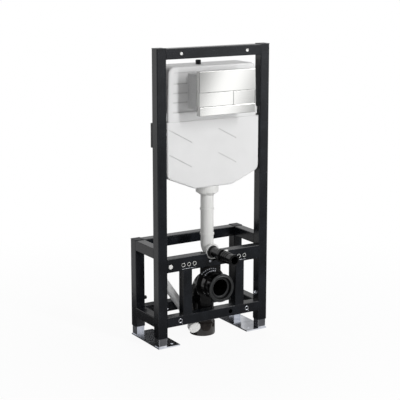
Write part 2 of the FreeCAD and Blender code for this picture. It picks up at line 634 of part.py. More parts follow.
def bent_path(sketch, start, enter, leave, end, radius):
    """A run, a round bend and a second run through points given as pairs of formulas.

    The bend's runs would meet at the sketch's origin.
    """
    places = [Vector(number(x), number(y)) for x, y in (start, enter, leave, end)]
    half_turn = math.atan(places[1].Length / number(radius))
    centre = (places[1] + places[2]).normalize() * (number(radius) / math.cos(half_turn))
    spokes = [point - centre for point in places[1:3]]
    turns_left = spokes[0].cross(spokes[1]).z > 0
    near, far = (1, 2) if turns_left else (2, 1)
    in_order = spokes if turns_left else spokes[::-1]
    from_angle, to_angle = (math.atan2(spoke.y, spoke.x) for spoke in in_order)
    round_part = Part.Circle(centre, AXES["Z"], number(radius))
    sketch.addGeometry(Part.LineSegment(places[0], places[1]))
    sketch.addGeometry(Part.ArcOfCircle(round_part, from_angle, to_angle))
    sketch.addGeometry(Part.LineSegment(places[2], places[3]))
    sketch.addConstraint(Sketcher.Constraint("Coincident", 0, 2, 1, near))
    sketch.addConstraint(Sketcher.Constraint("Coincident", 1, far, 2, 1))
    rule = sketch.addConstraint(Sketcher.Constraint("Radius", 1, number(radius)))
    sketch.setExpression(f"Constraints[{rule}]", bound(radius))
    for line, end_number, point in ((0, 1, start), (0, 2, enter), (2, 1, leave), (2, 2, end)):
        pin_point(sketch, line, end_number, *point)


def sweep_ring(piece, plane, offset, outside, wall, route):
    """A hollow round pipe along a route, from a ring on one of the body's planes."""
    profile = new_sketch(piece, plane, offset)
    circle(profile, "0", "0", outside)
    circle(profile, "0", "0", f"{outside} - 2 * {wall}")
    feature = piece.newObject("PartDesign::AdditivePipe", "Pipe")
    feature.Profile = profile
    feature.Spine = route


def flush_pipes():
    """The outlet collar, the falling flush pipe, its bend and the pan's flush connector."""
    axis = f"{FRONT} + pipe_back"
    radius, inner = "pipe_size / 2", "pipe_size / 2 - pipe_wall"
    collar = new_piece("cistern_outlet_collar", "0", axis, CISTERN_BASE)
    sketch = new_sketch(collar, "XZ_Plane")
    outline(sketch, [(inner, "0"), ("collar_size / 2", "0"), ("collar_size / 2", "-collar_height"),
                     (radius, "-collar_height - collar_cone"), (inner, "-collar_height - collar_cone")])
    revolve(collar, sketch, "V_Axis")

    top = f"{CISTERN_BASE} - collar_height - collar_cone"
    ring = "pipe_ring / 2"
    pipe = new_piece("flush_pipe", "0", axis, "0")
    sketch = new_sketch(pipe, "XZ_Plane")
    ring_level = f"{BEND_JOINT} + pipe_ring_share * ({top} - {BEND_JOINT})"
    ring_low, ring_high = (f"{ring_level} {sign} pipe_ring_height / 2" for sign in "-+")
    outline(sketch, [(inner, BEND_JOINT), (ring, BEND_JOINT), (ring, f"{BEND_JOINT} + pipe_ring_height"),
                     (radius, f"{BEND_JOINT} + pipe_ring_height"), (radius, ring_low), (ring, ring_low),
                     (ring, ring_high), (radius, ring_high), (radius, top), (inner, top)])
    revolve(pipe, sketch, "V_Axis")

    bend = new_piece("flush_bend", "0", axis, FLUSH_LEVEL)
    reach = "(pipe_back - socket_face)"
    route = new_sketch(bend, "YZ_Plane")
    bent_path(route, ("0", "bend_rise"), ("0", "flush_radius"), ("-flush_radius", "0"),
              (f"-{reach}", "0"), "flush_radius")
    sweep_ring(bend, "XY_Plane", "bend_rise", "pipe_size", "pipe_wall", route)
    socket = new_sketch(bend, "YZ_Plane")
    rim, overlap = "socket_size / 2", "pipe_size / 2 - pipe_wall / 2"
    back = f"socket_length - {reach}"
    outline(socket, [(f"-{reach}", overlap), (f"-{reach}", rim), (back, rim), (back, overlap)])
    revolve(bend, socket, "H_Axis")

    connector = new_piece("flush_connector", "0", FRONT, FLUSH_LEVEL)
    sketch = new_sketch(connector, "YZ_Plane")
    tube, bore, tip = "connector_size / 2", "connector_bore / 2", "connector_tip / 2"
    collar_back = "-connector_collar_place"
    collar_front = "(-connector_collar_place - connector_collar_length)"
    profile = [("-connector_reach", bore), ("-connector_reach", tip)]
    for index in reversed(range(RIBS)):
        rib_back = f"{collar_front} - connector_rib_gap - {index} * connector_rib_pitch"
        rib_front = f"{rib_back} - connector_rib_length"
        profile += [(rib_front, tip), (rib_front, "connector_rib / 2"), (rib_back, "connector_rib / 2"),
                    (rib_back, tip)]
    collar_edge, plug = "connector_collar / 2", "connector_plug_size / 2"
    plug_end = "socket_face + connector_plug"
    profile += [(collar_front, tip), (collar_front, collar_edge), (collar_back, collar_edge),
                (collar_back, tube), ("socket_face", tube), ("socket_face", plug), (plug_end, plug),
                (plug_end, bore)]
    outline(sketch, profile)
    revolve(connector, sketch, "H_Axis")


def drain():
    """The drain socket for the pan, its bend, the widening pipe and the hanger that holds them."""
    radius, inner = "drain_size / 2", "drain_size / 2 - drain_wall"
    socket = new_piece("drain_socket", "0", FRONT, "drain_height")
    sketch = new_sketch(socket, "YZ_Plane")
    rim, neck, shoulder = "drain_rim / 2", "drain_neck / 2", "drain_shoulder / 2"
    mouth, seal = "drain_mouth / 2", "drain_seal / 2"
    rim_end = "drain_rim_length - drain_reach"
    neck_end = f"{rim_end} + drain_neck_length"
    mouth_end = "drain_mouth_depth - drain_reach"
    outline(sketch, [("-drain_reach", mouth), ("-drain_reach", rim), (rim_end, rim), (rim_end, neck),
                     (neck_end, neck), (neck_end, shoulder), ("drain_socket_end", shoulder),
                     ("drain_socket_end", seal), (mouth_end, seal), (mouth_end, mouth)])
    revolve(socket, sketch, "H_Axis")

    bend = new_piece("drain_bend", "0", f"{FRONT} + {DRAIN_BACK}", "drain_height")
    reach = f"({DRAIN_BACK} - drain_socket_end)"
    route = new_sketch(bend, "YZ_Plane")
    bent_path(route, (f"-{reach}", "0"), (f"-{DRAIN_RADIUS}", "0"), ("0", f"-{DRAIN_RADIUS}"),
              ("0", f"-{DRAIN_RADIUS} - drain_drop"), DRAIN_RADIUS)
    sweep_ring(bend, "XZ_Plane", reach, "drain_size", "drain_wall", route)

    pipe = new_piece("drain_pipe", "0", f"{FRONT} + {DRAIN_BACK}", "0")
    sketch = new_sketch(pipe, "XZ_Plane")
    top, collar = f"(drain_height - {DRAIN_RADIUS} - drain_drop)", "drain_collar / 2"
    base, base_inner = "drain_base / 2", "drain_base / 2 - drain_wall"
    cone_top = "drain_base_top + drain_cone"
    outline(sketch, [(base_inner, "drain_foot"), (base, "drain_foot"), (base, "drain_base_top"),
                     (radius, cone_top), (radius, f"{top} - drain_collar_length"),
                     (collar, f"{top} - drain_collar_length"), (collar, top), (inner, top),
                     (inner, cone_top), (base_inner, "drain_base_top")])
    revolve(pipe, sketch, "V_Axis")

    hanger = new_piece("drain_hanger", "0", f"{FRONT} + drain_socket_end", "0")
    sketch = new_sketch(hanger, "XZ_Plane")
    half = "hanger_width / 2"
    rectangle(sketch, f"-{half}", half, "drain_height", CROSSBAR_BASE)
    pad(hanger, sketch, "hanger_thick", backwards=True)
    ring = new_sketch(hanger, "XZ_Plane")
    circle(ring, "0", "drain_height", "hanger_ring")
    pad(hanger, ring, "hanger_thick", backwards=True)
    saddle = new_sketch(hanger, "XZ_Plane")
    circle(saddle, "0", "drain_height", "drain_size + 2 * fit_gap")
    cut(hanger, saddle, "hanger_thick")


def service_conduit():
    """The slanting conduit before the rear rail, its forward outlet and the outlet's cap."""
    fall, tilt, swing = (math.radians(number(f"conduit_{name}_angle"))
                         for name in ("fall", "tilt", "swing"))
    down = Vector(math.cos(fall), 0, -math.sin(fall))
    out = Vector(-math.sin(swing) * math.cos(tilt), -math.cos(swing) * math.cos(tilt), -math.sin(tilt))
    upwards = down.negative()
    across = (out - down * out.dot(down)).normalize().negative()
    lean = Rotation(across.cross(upwards), across, upwards, "ZYX")
    back = f"{REAR} - conduit_size / 2 - fit_gap"
    conduit = new_piece("service_conduit", "-conduit_side", back, "conduit_height", lean)
    fall, tilt, swing = (f"(conduit_{name}_angle * 1 deg)" for name in ("fall", "tilt", "swing"))
    turn = f"acos(sin{fall} * sin{tilt} - cos{fall} * sin{swing} * cos{tilt})"
    setback = f"conduit_radius * tan({turn} / 2)"
    route = new_sketch(conduit, "YZ_Plane")
    enter, leave, end = (
        (f"-sin({angle}) * {length}", f"{sign}cos({angle}) * {length}") for angle, length, sign in
        (("0 deg", setback, ""), (turn, setback, "-"), (turn, "conduit_outlet", "-")))
    bent_path(route, ("0", "conduit_run"), enter, leave, end, "conduit_radius")
    sweep_ring(conduit, "XY_Plane", "conduit_run", "conduit_size", "conduit_wall", route)

    level = f"conduit_outlet * cos{tilt}"
    cap = new_piece("conduit_cap", f"-conduit_side - {level} * sin{swing}", f"{back} - {level} * cos{swing}",
                    f"conduit_height - conduit_outlet * sin{tilt}", Rotation(Vector(0, 0, 1), out))
    sketch = new_sketch(cap, "XZ_Plane")
    outer, sleeve = "conduit_cap_size / 2", "conduit_size / 2 + fit_gap"
    lip = "conduit_wall"
    outline(sketch, [("0", "0"), (sleeve, "0"), (sleeve, f"{lip} - conduit_cap_length"),
                     (outer, f"{lip} - conduit_cap_length"), (outer, lip), ("0", lip)])
    revolve(cap, sketch, "V_Axis")


uprights_and_legs()
cross_rails()
side_rails()
pan_crossbar()
inner_posts()
telescopic_feet()
cistern_brackets()
cistern_body()
cistern_cover()
flush_plate()
flush_pipes()
drain()
service_conduit()
doc.recompute()

for item in doc.Objects:
    if "Invalid" in item.State or "Error" in item.State:
        raise RuntimeError(f"{item.Label}: {item.State}")
os.makedirs("parts", exist_ok=True)
for piece in pieces:
    shape = piece.Shape
    if shape.isNull() or not shape.isValid():
        raise RuntimeError(f"{piece.Label}: its shape is not valid")
for piece in pieces:
    piece.Shape.exportStep(os.path.join("parts", piece.Label + ".step"))
print(len(pieces), "sub-parts written")
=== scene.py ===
"""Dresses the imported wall-hung toilet frame: finishes for its CAD pieces, its small
fasteners, seals and welds, and a white studio at the photograph's viewing angle."""
import json
import math

import bpy
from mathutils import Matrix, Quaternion, Vector


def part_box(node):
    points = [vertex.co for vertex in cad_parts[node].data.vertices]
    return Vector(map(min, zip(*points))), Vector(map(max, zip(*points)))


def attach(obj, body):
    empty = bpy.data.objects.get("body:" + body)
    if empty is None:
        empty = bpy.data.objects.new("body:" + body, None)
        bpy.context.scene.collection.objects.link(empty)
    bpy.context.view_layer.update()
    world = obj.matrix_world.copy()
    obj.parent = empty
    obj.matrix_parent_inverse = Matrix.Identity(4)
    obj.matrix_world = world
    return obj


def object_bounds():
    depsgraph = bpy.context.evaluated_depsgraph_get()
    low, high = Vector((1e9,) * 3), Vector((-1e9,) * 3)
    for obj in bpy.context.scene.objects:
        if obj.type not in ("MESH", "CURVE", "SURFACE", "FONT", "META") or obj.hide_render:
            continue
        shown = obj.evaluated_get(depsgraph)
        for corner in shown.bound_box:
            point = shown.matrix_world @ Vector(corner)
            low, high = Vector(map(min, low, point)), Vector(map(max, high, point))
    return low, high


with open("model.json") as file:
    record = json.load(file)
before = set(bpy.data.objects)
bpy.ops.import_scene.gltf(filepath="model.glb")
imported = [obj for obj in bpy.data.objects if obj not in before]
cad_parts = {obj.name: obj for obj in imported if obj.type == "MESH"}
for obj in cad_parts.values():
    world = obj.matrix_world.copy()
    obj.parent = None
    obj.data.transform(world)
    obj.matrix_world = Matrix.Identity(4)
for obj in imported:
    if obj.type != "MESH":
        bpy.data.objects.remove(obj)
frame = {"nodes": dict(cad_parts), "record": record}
CAD_BOX = [list(corner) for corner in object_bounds()]

bl_info = {
    "name": "Toilet frame dress",
    "version": (1, 0, 0),
    "blender": (4, 5, 0),
    "location": "View3D > Sidebar > Toilet frame",
    "description": "Finishes, fasteners, seals and studio of a wall-hung toilet frame",
    "category": "Object",
}

MM = 0.001
UP, DOWN = Vector((0, 0, 1)), Vector((0, 0, -1))
FORWARD, BACK = Vector((0, -1, 0)), Vector((0, 1, 0))
LEFT, RIGHT = Vector((-1, 0, 0)), Vector((1, 0, 0))


def linear(code):
    """Linear colour of an sRGB hex value."""
    parts = [int(code[i:i + 2], 16) / 255 for i in (1, 3, 5)]
    return [c / 12.92 if c <= 0.04045 else ((c + 0.055) / 1.055) ** 2.4 for c in parts]


def colour(label, code, note):
    """A colour setting with its default as a hex value."""
    return bpy.props.FloatVectorProperty(name=label, description=note, subtype="COLOR", size=3,
                                         min=0, max=1, default=linear(code))


def length(label, value, note):
    """A length setting in metres, given in millimetres."""
    return bpy.props.FloatProperty(name=label, description=note, unit="LENGTH", min=0, default=value * MM)


class FinishSettings(bpy.types.PropertyGroup):
    """Colours of the frame's finishes."""
    paint: colour("Frame paint", "#101216", "Black powder coat of the steel tubes")
    paint_edge: colour("Paint highlights", "#1C1F24", "Paler flecks of the powder coat")
    cap: colour("Tube caps", "#141416", "Moulded caps on the tube ends")
    zinc: colour("Zinc plate", "#DCDEE4", "Bright zinc of the feet and fasteners")
    zinc_dark: colour("Zinc clouds", "#C6C9D0", "Darker clouds in the zinc plate")
    cistern: colour("Cistern", "#E1E1E1", "White moulded cistern halves")
    pipe: colour("Flush pipe", "#E4E4E2", "White extruded flush pipe")
    # The cap's white is brighter than the pipe's: painted light where it faces the lamp
    cap_white: colour("Conduit cap", "#F5F5F3", "White PVC of the service conduit's cap")
    shaft: colour("Service shaft", "#DCDCDC", "Moulded shaft behind the flush plate")
    chrome: colour("Flush plate", "#F2F2F0", "Chromed flush plate and buttons")
    drain: colour("Drain plastic", "#0C0C0D", "Black polyethylene drain and connector")
    # Warm tone of the drain's patches near the floor: painted reflection
    drain_warm: colour("Drain dust", "#2C2826", "Dust on the black polyethylene near the floor")
    seal: colour("Seals", "#2E2F30", "Grey rubber of the drain's seal")


class FastenerSettings(bpy.types.PropertyGroup):
    """Sizes of the small fasteners, seals and trim."""
    bush_flange: length("Bush flange", 16, "Diameter of a pan bolt bush's flange")
    bush_sleeve: length("Bush sleeve", 12.8, "Outside of a pan bolt bush's sleeve")
    bush_bore: length("Bush bore", 12.4, "Bore of a pan bolt bush")
    bush_depth: length("Bush depth", 2, "How far a bush's sleeve goes into its hole")
    bush_proud: length("Bush height", 1.6, "How far a bush's flange stands proud")
    bead_drop: length("Bead drop", 16, "Pan bolt holes to the pressed bead below them")
    bead_near: length("Bead's near end", 84, "Centre line to the near end of a pressed bead")
    bead_far: length("Bead's far end", 147, "Centre line to the far end of a pressed bead")
    bead_width: length("Bead width", 1.8, "Width of a pressed bead")
    bead_proud: length("Bead height", 0.8, "How far a pressed bead stands proud")
    plug_size: length("Plug", 18, "Diameter of the crossbar's white hole plug")
    plug_inset: length("Plug inset", 13.5, "Crossbar's left end to the middle of its plug")
    wall_plug_size: length("Wall plug", 12.4, "Diameter of the white plugs in the wall holes")
    screw_side: length("Hanger screws", 19, "Centre line to a screw of the drain's hanger")
    screw_drop: length("Hanger screw drop", 2, "Pan bolt holes down to the hanger's screws")
    washer_size: length("Rail washer", 18, "Diameter of the lower rail's washers")
    washer_sleeve: length("Washer sleeve", 11.8, "Outside of a rail washer's sleeve")
    washer_bore: length("Washer bore", 11.2, "Bore of a rail washer")
    washer_depth: length("Washer depth", 3, "How far a washer's sleeve goes into its hole")
    washer_proud: length("Washer height", 1.4, "How far a rail washer stands proud")
    clamp_level: length("Clamp level", 150, "Height of the foot clamps over the floor")
    clamp_head: length("Clamp head", 12.8, "Across the flats of a foot clamp's bolt head")
    clamp_height: length("Clamp head height", 6, "Height of a foot clamp's bolt head")
    clamp_seat: length("Clamp seat", 2.6, "Tube to the underside of a foot clamp's bolt head")
    clamp_dish: length("Clamp dish", 2, "Depth of the dish in a foot clamp's bolt head")
    knob_size: length("Knob", 15, "Diameter of the left rear leg's clamp knob")
    knob_length: length("Knob length", 17, "Length of the left rear leg's clamp knob")
    knob_neck: length("Knob neck", 4, "Length and half the width of the knob's neck")
    drain_recess: length("Drain recess", 87, "Diameter of the recess in the drain's mouth")
    tooth_width: length("Strap tooth", 5.2, "Width of a tooth of the drain's straps")
    cheek: length("Plate cheek", 0.7, "Thickness of the cheeks on the flush plate's ends")
    cheek_gap: length("Cheek gap", 0.3, "Gap between a cheek and the flush buttons")
    bracket_sheet: length("Bracket sheet", 3.2, "Sheet of a cistern bracket and its paint")
    thread_pitch: length("Thread pitch", 1.8, "Turn to turn of the water inlet's thread")
    thread_crest: length("Thread crest", 0.7, "How far the inlet's thread stands out")
    weld: length("Weld bead", 1.1, "Half the width of a weld bead")
    weld_corner: length("Weld corner", 3, "Rounding of a weld bead at a rail's corners")


class StageSettings(bpy.types.PropertyGroup):
    """Camera, lamps and floor."""
    camera_place: bpy.props.FloatVectorProperty(
        name="Camera", description="Place of the camera", size=3, subtype="TRANSLATION",
        default=(-2.2998, -3.6559, 1.4989))
    camera_turn: bpy.props.FloatProperty(
        name="Turn", description="Camera's turn to the right", subtype="ANGLE", default=0.5533)
    camera_dip: bpy.props.FloatProperty(
        name="Dip", description="Camera's tilt downwards", subtype="ANGLE", default=0.2017)
    camera_lens: bpy.props.FloatProperty(
        name="Lens", description="Focal length in millimetres", default=102.64, min=1)
    camera_shift: bpy.props.FloatProperty(
        name="Shift", description="Vertical shift of the frame", default=-0.04)
    key_power: bpy.props.FloatProperty(
        name="Key lamp", description="Power of the front lamp", default=95, unit="POWER")
    back_power: bpy.props.FloatProperty(
        name="Back lamp", description="Power of the back lamp", default=55, unit="POWER")
    fill: bpy.props.FloatProperty(
        name="Fill", description="Strength of the soft light from all sides", default=0.26, min=0)
    floor_glow: bpy.props.FloatProperty(
        name="Floor glow", description="Share of the floor near the object that glows white", default=0.93)
    floor_size: bpy.props.FloatProperty(
        name="Floor size", description="Width of the studio floor", default=80, unit="LENGTH")
    shadow_near: bpy.props.FloatProperty(
        name="Shadow fades from", description="Distance at which the floor's shadow starts to fade",
        default=0.5, unit="LENGTH")
    shadow_far: bpy.props.FloatProperty(
        name="Shadow fades to", description="Distance at which the floor is pure white", default=1.8,
        unit="LENGTH")


# Small tools that every piece shares


def add(tree, kind, values=None, links=None, stops=(), **settings):
    """Add one node with its settings, fixed inputs, links and colour stops."""
    node = tree.nodes.new(kind)
    for name, value in settings.items():
        setattr(node, name, value)
    for name, value in (values or {}).items():
        node.inputs[name].default_value = value
    for name, source in (links or {}).items():
        socket = source.outputs[0] if isinstance(source, bpy.types.Node) else source
        tree.links.new(socket, node.inputs[name])
    for index, (position, rgb) in enumerate(stops):
        elements = node.color_ramp.elements
        stop = elements[index] if index < len(elements) else elements.new(position)
        stop.position, stop.color = position, (*rgb, 1)
    return node


def per_mm(size):
    """Texture scale at which one feature is this many millimetres."""
    return 1 / (size * MM)


def darker(rgb, share):
    """A colour at a share of its brightness."""
    return [channel * share for channel in rgb]


def new_material(name):
    """An empty node material: its tree and the object's own coordinates."""
    material = bpy.data.materials.new(name)
    material.use_nodes = True
    material.node_tree.nodes.clear()
    return material.node_tree, add(material.node_tree, "ShaderNodeTexCoord").outputs["Object"]


def surface(tree, values, links):
    """Close a material with its shader."""
    shader = add(tree, "ShaderNodeBsdfPrincipled", values, links)
    add(tree, "ShaderNodeOutputMaterial", links={"Surface": shader})


def deselect():
    """Leave edit mode and let go of everything."""
    if bpy.context.object and bpy.context.object.mode != "OBJECT":
        bpy.ops.object.mode_set(mode="OBJECT")
    bpy.ops.object.select_all(action="DESELECT")


def pick(obj):
    """Make one object the only selected and active one."""
    deselect()
    obj.select_set(True)
    bpy.context.view_layer.objects.active = obj


def pick_faces(obj, test):
    """In edit mode, select only the faces that pass a test."""
    bpy.ops.mesh.select_mode(type="FACE")
    bpy.ops.mesh.select_all(action="DESELECT")
    bpy.ops.object.mode_set(mode="OBJECT")
    count = 0
    for face in obj.data.polygons:
        face.select = bool(test(face))
        count += face.select
    bpy.ops.object.mode_set(mode="EDIT")
    if not count:
        raise RuntimeError(obj.name + ": no face was found to shape")


def stand(obj, centre, axis):
    """Turn a piece's own Z to an axis, put it at its place and apply both."""
    pick(obj)
    obj.rotation_mode = "QUATERNION"
    obj.rotation_quaternion = UP.rotation_difference(Vector(axis))
    obj.location = centre
    bpy.ops.object.transform_apply(location=True, rotation=True, scale=True)


def turned(name, profile, centre, axis, steps=40):
    """A turned piece: an outline of radius and height in millimetres, spun round an axis."""
    deselect()
    bpy.ops.mesh.primitive_plane_add(size=MM)
    piece = bpy.context.object
    piece.name = name
    bpy.ops.object.mode_set(mode="EDIT")
    bpy.ops.mesh.select_mode(type="VERT")
    bpy.ops.mesh.select_all(action="SELECT")
    bpy.ops.mesh.merge(type="CENTER")
    points = [Vector((radius, 0, height)) * MM for radius, height in profile]
    bpy.ops.transform.translate(value=points[0])
    for here, there in zip(points, points[1:] + points[:1]):
        bpy.ops.mesh.extrude_vertices_move(TRANSFORM_OT_translate={"value": there - here})
    bpy.ops.mesh.select_all(action="SELECT")
    bpy.ops.mesh.remove_doubles(threshold=MM / 100)
    bpy.ops.mesh.spin(steps=steps, angle=math.tau, center=(0, 0, 0), axis=(0, 0, 1))
    bpy.ops.mesh.select_all(action="SELECT")
    bpy.ops.mesh.remove_doubles(threshold=MM / 100)
    bpy.ops.mesh.normals_make_consistent(inside=False)
    bpy.ops.object.mode_set(mode="OBJECT")
    stand(piece, centre, axis)
    return piece


def hexagon(name, across, height, centre, axis, dish):
    """A hexagonal bolt head with a chamfered crown and a dish in its middle."""
    chamfer, wall = across * 0.12, across * 0.16
    crown, edge = height * 0.08, height * 0.06
    deselect()
    bpy.ops.mesh.primitive_cylinder_add(vertices=6, radius=across / math.sqrt(3), depth=height,
                                        location=(0, 0, height / 2))
    piece = bpy.context.object
    piece.name = name
    bpy.ops.object.transform_apply(location=True, rotation=True, scale=True)
    bpy.ops.object.mode_set(mode="EDIT")
    pick_faces(piece, lambda face: face.normal.z > 0.9)
    bpy.ops.mesh.inset(thickness=chamfer, depth=crown)
    bpy.ops.mesh.inset(thickness=wall, depth=0)
    bpy.ops.mesh.inset(thickness=0, depth=-dish)
    bpy.ops.object.mode_set(mode="OBJECT")
    soften(piece, edge)
    stand(piece, centre, axis)
    return piece


def block(name, low, high, edge, taper):
    """A block between two corners, drawn in a little towards its front and with soft edges."""
    deselect()
    low, high = Vector(low), Vector(high)
    bpy.ops.mesh.primitive_cube_add(size=1, location=(low + high) / 2)
    piece = bpy.context.object
    piece.name = name
    piece.scale = high - low
    bpy.ops.object.transform_apply(location=True, rotation=True, scale=True)
    bpy.ops.object.mode_set(mode="EDIT")
    pick_faces(piece, lambda face: face.normal.y < -0.9)
    bpy.ops.mesh.inset(thickness=taper, depth=taper)
    bpy.ops.object.mode_set(mode="OBJECT")
    soften(piece, edge)
    return piece


def soften(obj, width):
    """Bevel a piece's sharp edges and apply the bevel."""
    pick(obj)
    bevel = obj.modifiers.new("edges", "BEVEL")
    bevel.width = width
    bevel.segments = 2
    bevel.limit_method = "ANGLE"
    bpy.ops.object.modifier_apply(modifier=bevel.name)


def copies(piece, names, offsets):
    """The piece and its copies, each with its own mesh, moved by the offsets."""
    made = [piece]
    for name, offset in zip(names, offsets):
        pick(piece)
        bpy.ops.object.duplicate(linked=False)
        twin = bpy.context.object
        twin.name = name
        twin.location = offset
        bpy.ops.object.transform_apply(location=True, rotation=True, scale=True)
        made.append(twin)
    return made


def join(name, pieces):
    """One object from several."""
    deselect()
    for piece in pieces:
        piece.select_set(True)
    bpy.context.view_layer.objects.active = pieces[0]
    bpy.ops.object.join()
    pieces[0].name = name
    return pieces[0]


def fit(piece, body, finish, angle=35):
    """Give a finished piece its material, smooth shading and body."""
    piece.data.materials.clear()
    piece.data.materials.append(bpy.data.materials[finish])
    pick(piece)
    bpy.ops.object.shade_smooth_by_angle(angle=math.radians(angle))
    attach(piece, body)


def mount(name):
    """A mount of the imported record: its place and its sizes in metres."""
    entry = next(item for item in frame["record"]["mounts"] if item["name"] == name)
    sizes = {key: size * MM for key, size in entry["dims"].items() if key.endswith("_mm")}
    return Vector(entry["pos_m"]), sizes


# Finishes, each named for the real material and how its surface was made


def powder_coated_steel(tones):
    """Black powder coat: a low sheen broken by a fine orange peel, so edges catch pale lines."""
    tree, place = new_material("powder_coated_steel")
    # The real peel is about 1 mm across; it is drawn at 2.5 mm so that it shows at all
    peel = add(tree, "ShaderNodeTexNoise", {"Scale": per_mm(2.5), "Detail": 3}, {"Vector": place})
    cloud = add(tree, "ShaderNodeTexNoise", {"Scale": per_mm(60), "Detail": 2}, {"Vector": place})
    tint = add(tree, "ShaderNodeValToRGB", links={"Fac": cloud},
               stops=((0.35, tones.paint), (0.8, tones.paint_edge)))
    gloss = add(tree, "ShaderNodeMapRange", {"To Min": 0.17, "To Max": 0.27}, {"Value": peel})
    bump = add(tree, "ShaderNodeBump", {"Distance": 0.04 * MM, "Strength": 0.4}, {"Height": peel})
    surface(tree, {"IOR": 1.5, "Specular IOR Level": 0.35},
            {"Base Color": tint, "Roughness": gloss, "Normal": bump})


def moulded_polyamide(tones):
    """Moulded black caps: flat and dull, with a fine spark-eroded grain."""
    tree, place = new_material("moulded_polyamide")
    grain = add(tree, "ShaderNodeTexNoise", {"Scale": per_mm(1.2), "Detail": 2}, {"Vector": place})
    tint = add(tree, "ShaderNodeValToRGB", links={"Fac": grain},
               stops=((0.3, tones.cap), (0.75, tones.paint_edge)))
    gloss = add(tree, "ShaderNodeMapRange", {"To Min": 0.45, "To Max": 0.6}, {"Value": grain})
    bump = add(tree, "ShaderNodeBump", {"Distance": 0.05 * MM, "Strength": 0.4}, {"Height": grain})
    surface(tree, {"IOR": 1.53, "Specular IOR Level": 0.4},
            {"Base Color": tint, "Roughness": gloss, "Normal": bump})


def zinc_plated_steel(tones):
    """Bright zinc on drawn tube and sheet: a bluish mirror, faintly cloudy and lined along the draw."""
    tree, place = new_material("zinc_plated_steel")
    cloud = add(tree, "ShaderNodeTexNoise", {"Scale": per_mm(45), "Detail": 3}, {"Vector": place})
    drawn = add(tree, "ShaderNodeMapping", {"Scale": (1, 1, 0.04)}, {"Vector": place})
    lines = add(tree, "ShaderNodeTexNoise", {"Scale": per_mm(1.5), "Detail": 2}, {"Vector": drawn})
    tint = add(tree, "ShaderNodeValToRGB", links={"Fac": cloud},
               stops=((0.35, tones.zinc_dark), (0.65, tones.zinc)))
    gloss = add(tree, "ShaderNodeMapRange", {"To Min": 0.08, "To Max": 0.2}, {"Value": lines})
    bump = add(tree, "ShaderNodeBump", {"Distance": 0.02 * MM, "Strength": 0.3}, {"Height": lines})
    surface(tree, {"Metallic": 1}, {"Base Color": tint, "Roughness": gloss, "Normal": bump})


def moulded_polypropylene(tones):
    """White moulded cistern: matt skin with a fine grain, faint flow marks and painted shade in its grooves.
    """
    tree, place = new_material("moulded_polypropylene")
    grain = add(tree, "ShaderNodeTexNoise", {"Scale": per_mm(1.5), "Detail": 2}, {"Vector": place})
    flow = add(tree, "ShaderNodeTexNoise", {"Scale": per_mm(120), "Detail": 2}, {"Vector": place})
    skin = add(tree, "ShaderNodeValToRGB", links={"Fac": flow},
               stops=((0.3, darker(tones.cistern, 0.95)), (0.6, tones.cistern)))
    # Painted shade: the colour darkens in grooves and creases, wherever ambient occlusion finds them closed
    # in
    grooves = add(tree, "ShaderNodeAmbientOcclusion", {"Distance": 6 * MM}, only_local=True, samples=8)
    painted_tone = add(tree, "ShaderNodeValToRGB", links={"Fac": grooves.outputs["AO"]},
               stops=((0.35, (0.7, 0.7, 0.7)), (0.9, (1, 1, 1))))
    tint = add(tree, "ShaderNodeVectorMath", links={0: skin, 1: painted_tone}, operation="MULTIPLY")
    gloss = add(tree, "ShaderNodeMapRange", {"To Min": 0.42, "To Max": 0.52}, {"Value": flow})
    bump = add(tree, "ShaderNodeBump", {"Distance": 0.03 * MM, "Strength": 0.3}, {"Height": grain})
    surface(tree, {"IOR": 1.49}, {"Base Color": tint, "Roughness": gloss, "Normal": bump})


def extruded_polyethylene(tones):
    """White extruded pipe: a soft shine with faint lines along its length."""
    tree, place = new_material("extruded_polyethylene")
    drawn = add(tree, "ShaderNodeMapping", {"Scale": (1, 1, 0.03)}, {"Vector": place})
    lines = add(tree, "ShaderNodeTexNoise", {"Scale": per_mm(3), "Detail": 2}, {"Vector": drawn})
    tint = add(tree, "ShaderNodeValToRGB", links={"Fac": lines},
               stops=((0.3, darker(tones.pipe, 0.94)), (0.65, tones.pipe)))
    gloss = add(tree, "ShaderNodeMapRange", {"To Min": 0.28, "To Max": 0.38}, {"Value": lines})
    bump = add(tree, "ShaderNodeBump", {"Distance": 0.03 * MM, "Strength": 0.3}, {"Height": lines})
    surface(tree, {"IOR": 1.5}, {"Base Color": tint, "Roughness": gloss, "Normal": bump})


def moulded_pvc(tones):
    """White PVC cap: a clean polished face, only just uneven from its mould. Its white is brighter than the
    pipe's: painted light where the cap faces the lamp.
    """
    tree, place = new_material("moulded_pvc")
    ripple = add(tree, "ShaderNodeTexNoise", {"Scale": per_mm(8), "Detail": 3}, {"Vector": place})
    tint = add(tree, "ShaderNodeValToRGB", links={"Fac": ripple},
               stops=((0.3, darker(tones.cap_white, 0.96)), (0.65, tones.cap_white)))
    gloss = add(tree, "ShaderNodeMapRange", {"To Min": 0.2, "To Max": 0.32}, {"Value": ripple})
    bump = add(tree, "ShaderNodeBump", {"Distance": 0.04 * MM, "Strength": 0.3}, {"Height": ripple})
    surface(tree, {"IOR": 1.53}, {"Base Color": tint, "Roughness": gloss, "Normal": bump})


def foamed_polystyrene(tones):
    """Pale moulded service shaft: dull, with the rounded beads of its foam."""
    tree, place = new_material("foamed_polystyrene")
    beads = add(tree, "ShaderNodeTexVoronoi", {"Scale": per_mm(5)}, {"Vector": place}, feature="SMOOTH_F1")
    tint = add(tree, "ShaderNodeValToRGB", links={"Fac": beads},
               stops=((0.2, tones.shaft), (0.7, darker(tones.shaft, 0.9))))
    gloss = add(tree, "ShaderNodeMapRange", {"To Min": 0.55, "To Max": 0.7}, {"Value": beads})
    bump = add(tree, "ShaderNodeBump", {"Distance": -0.1 * MM, "Strength": 0.3}, {"Height": beads})
    surface(tree, {"IOR": 1.45}, {"Base Color": tint, "Roughness": gloss, "Normal": bump})


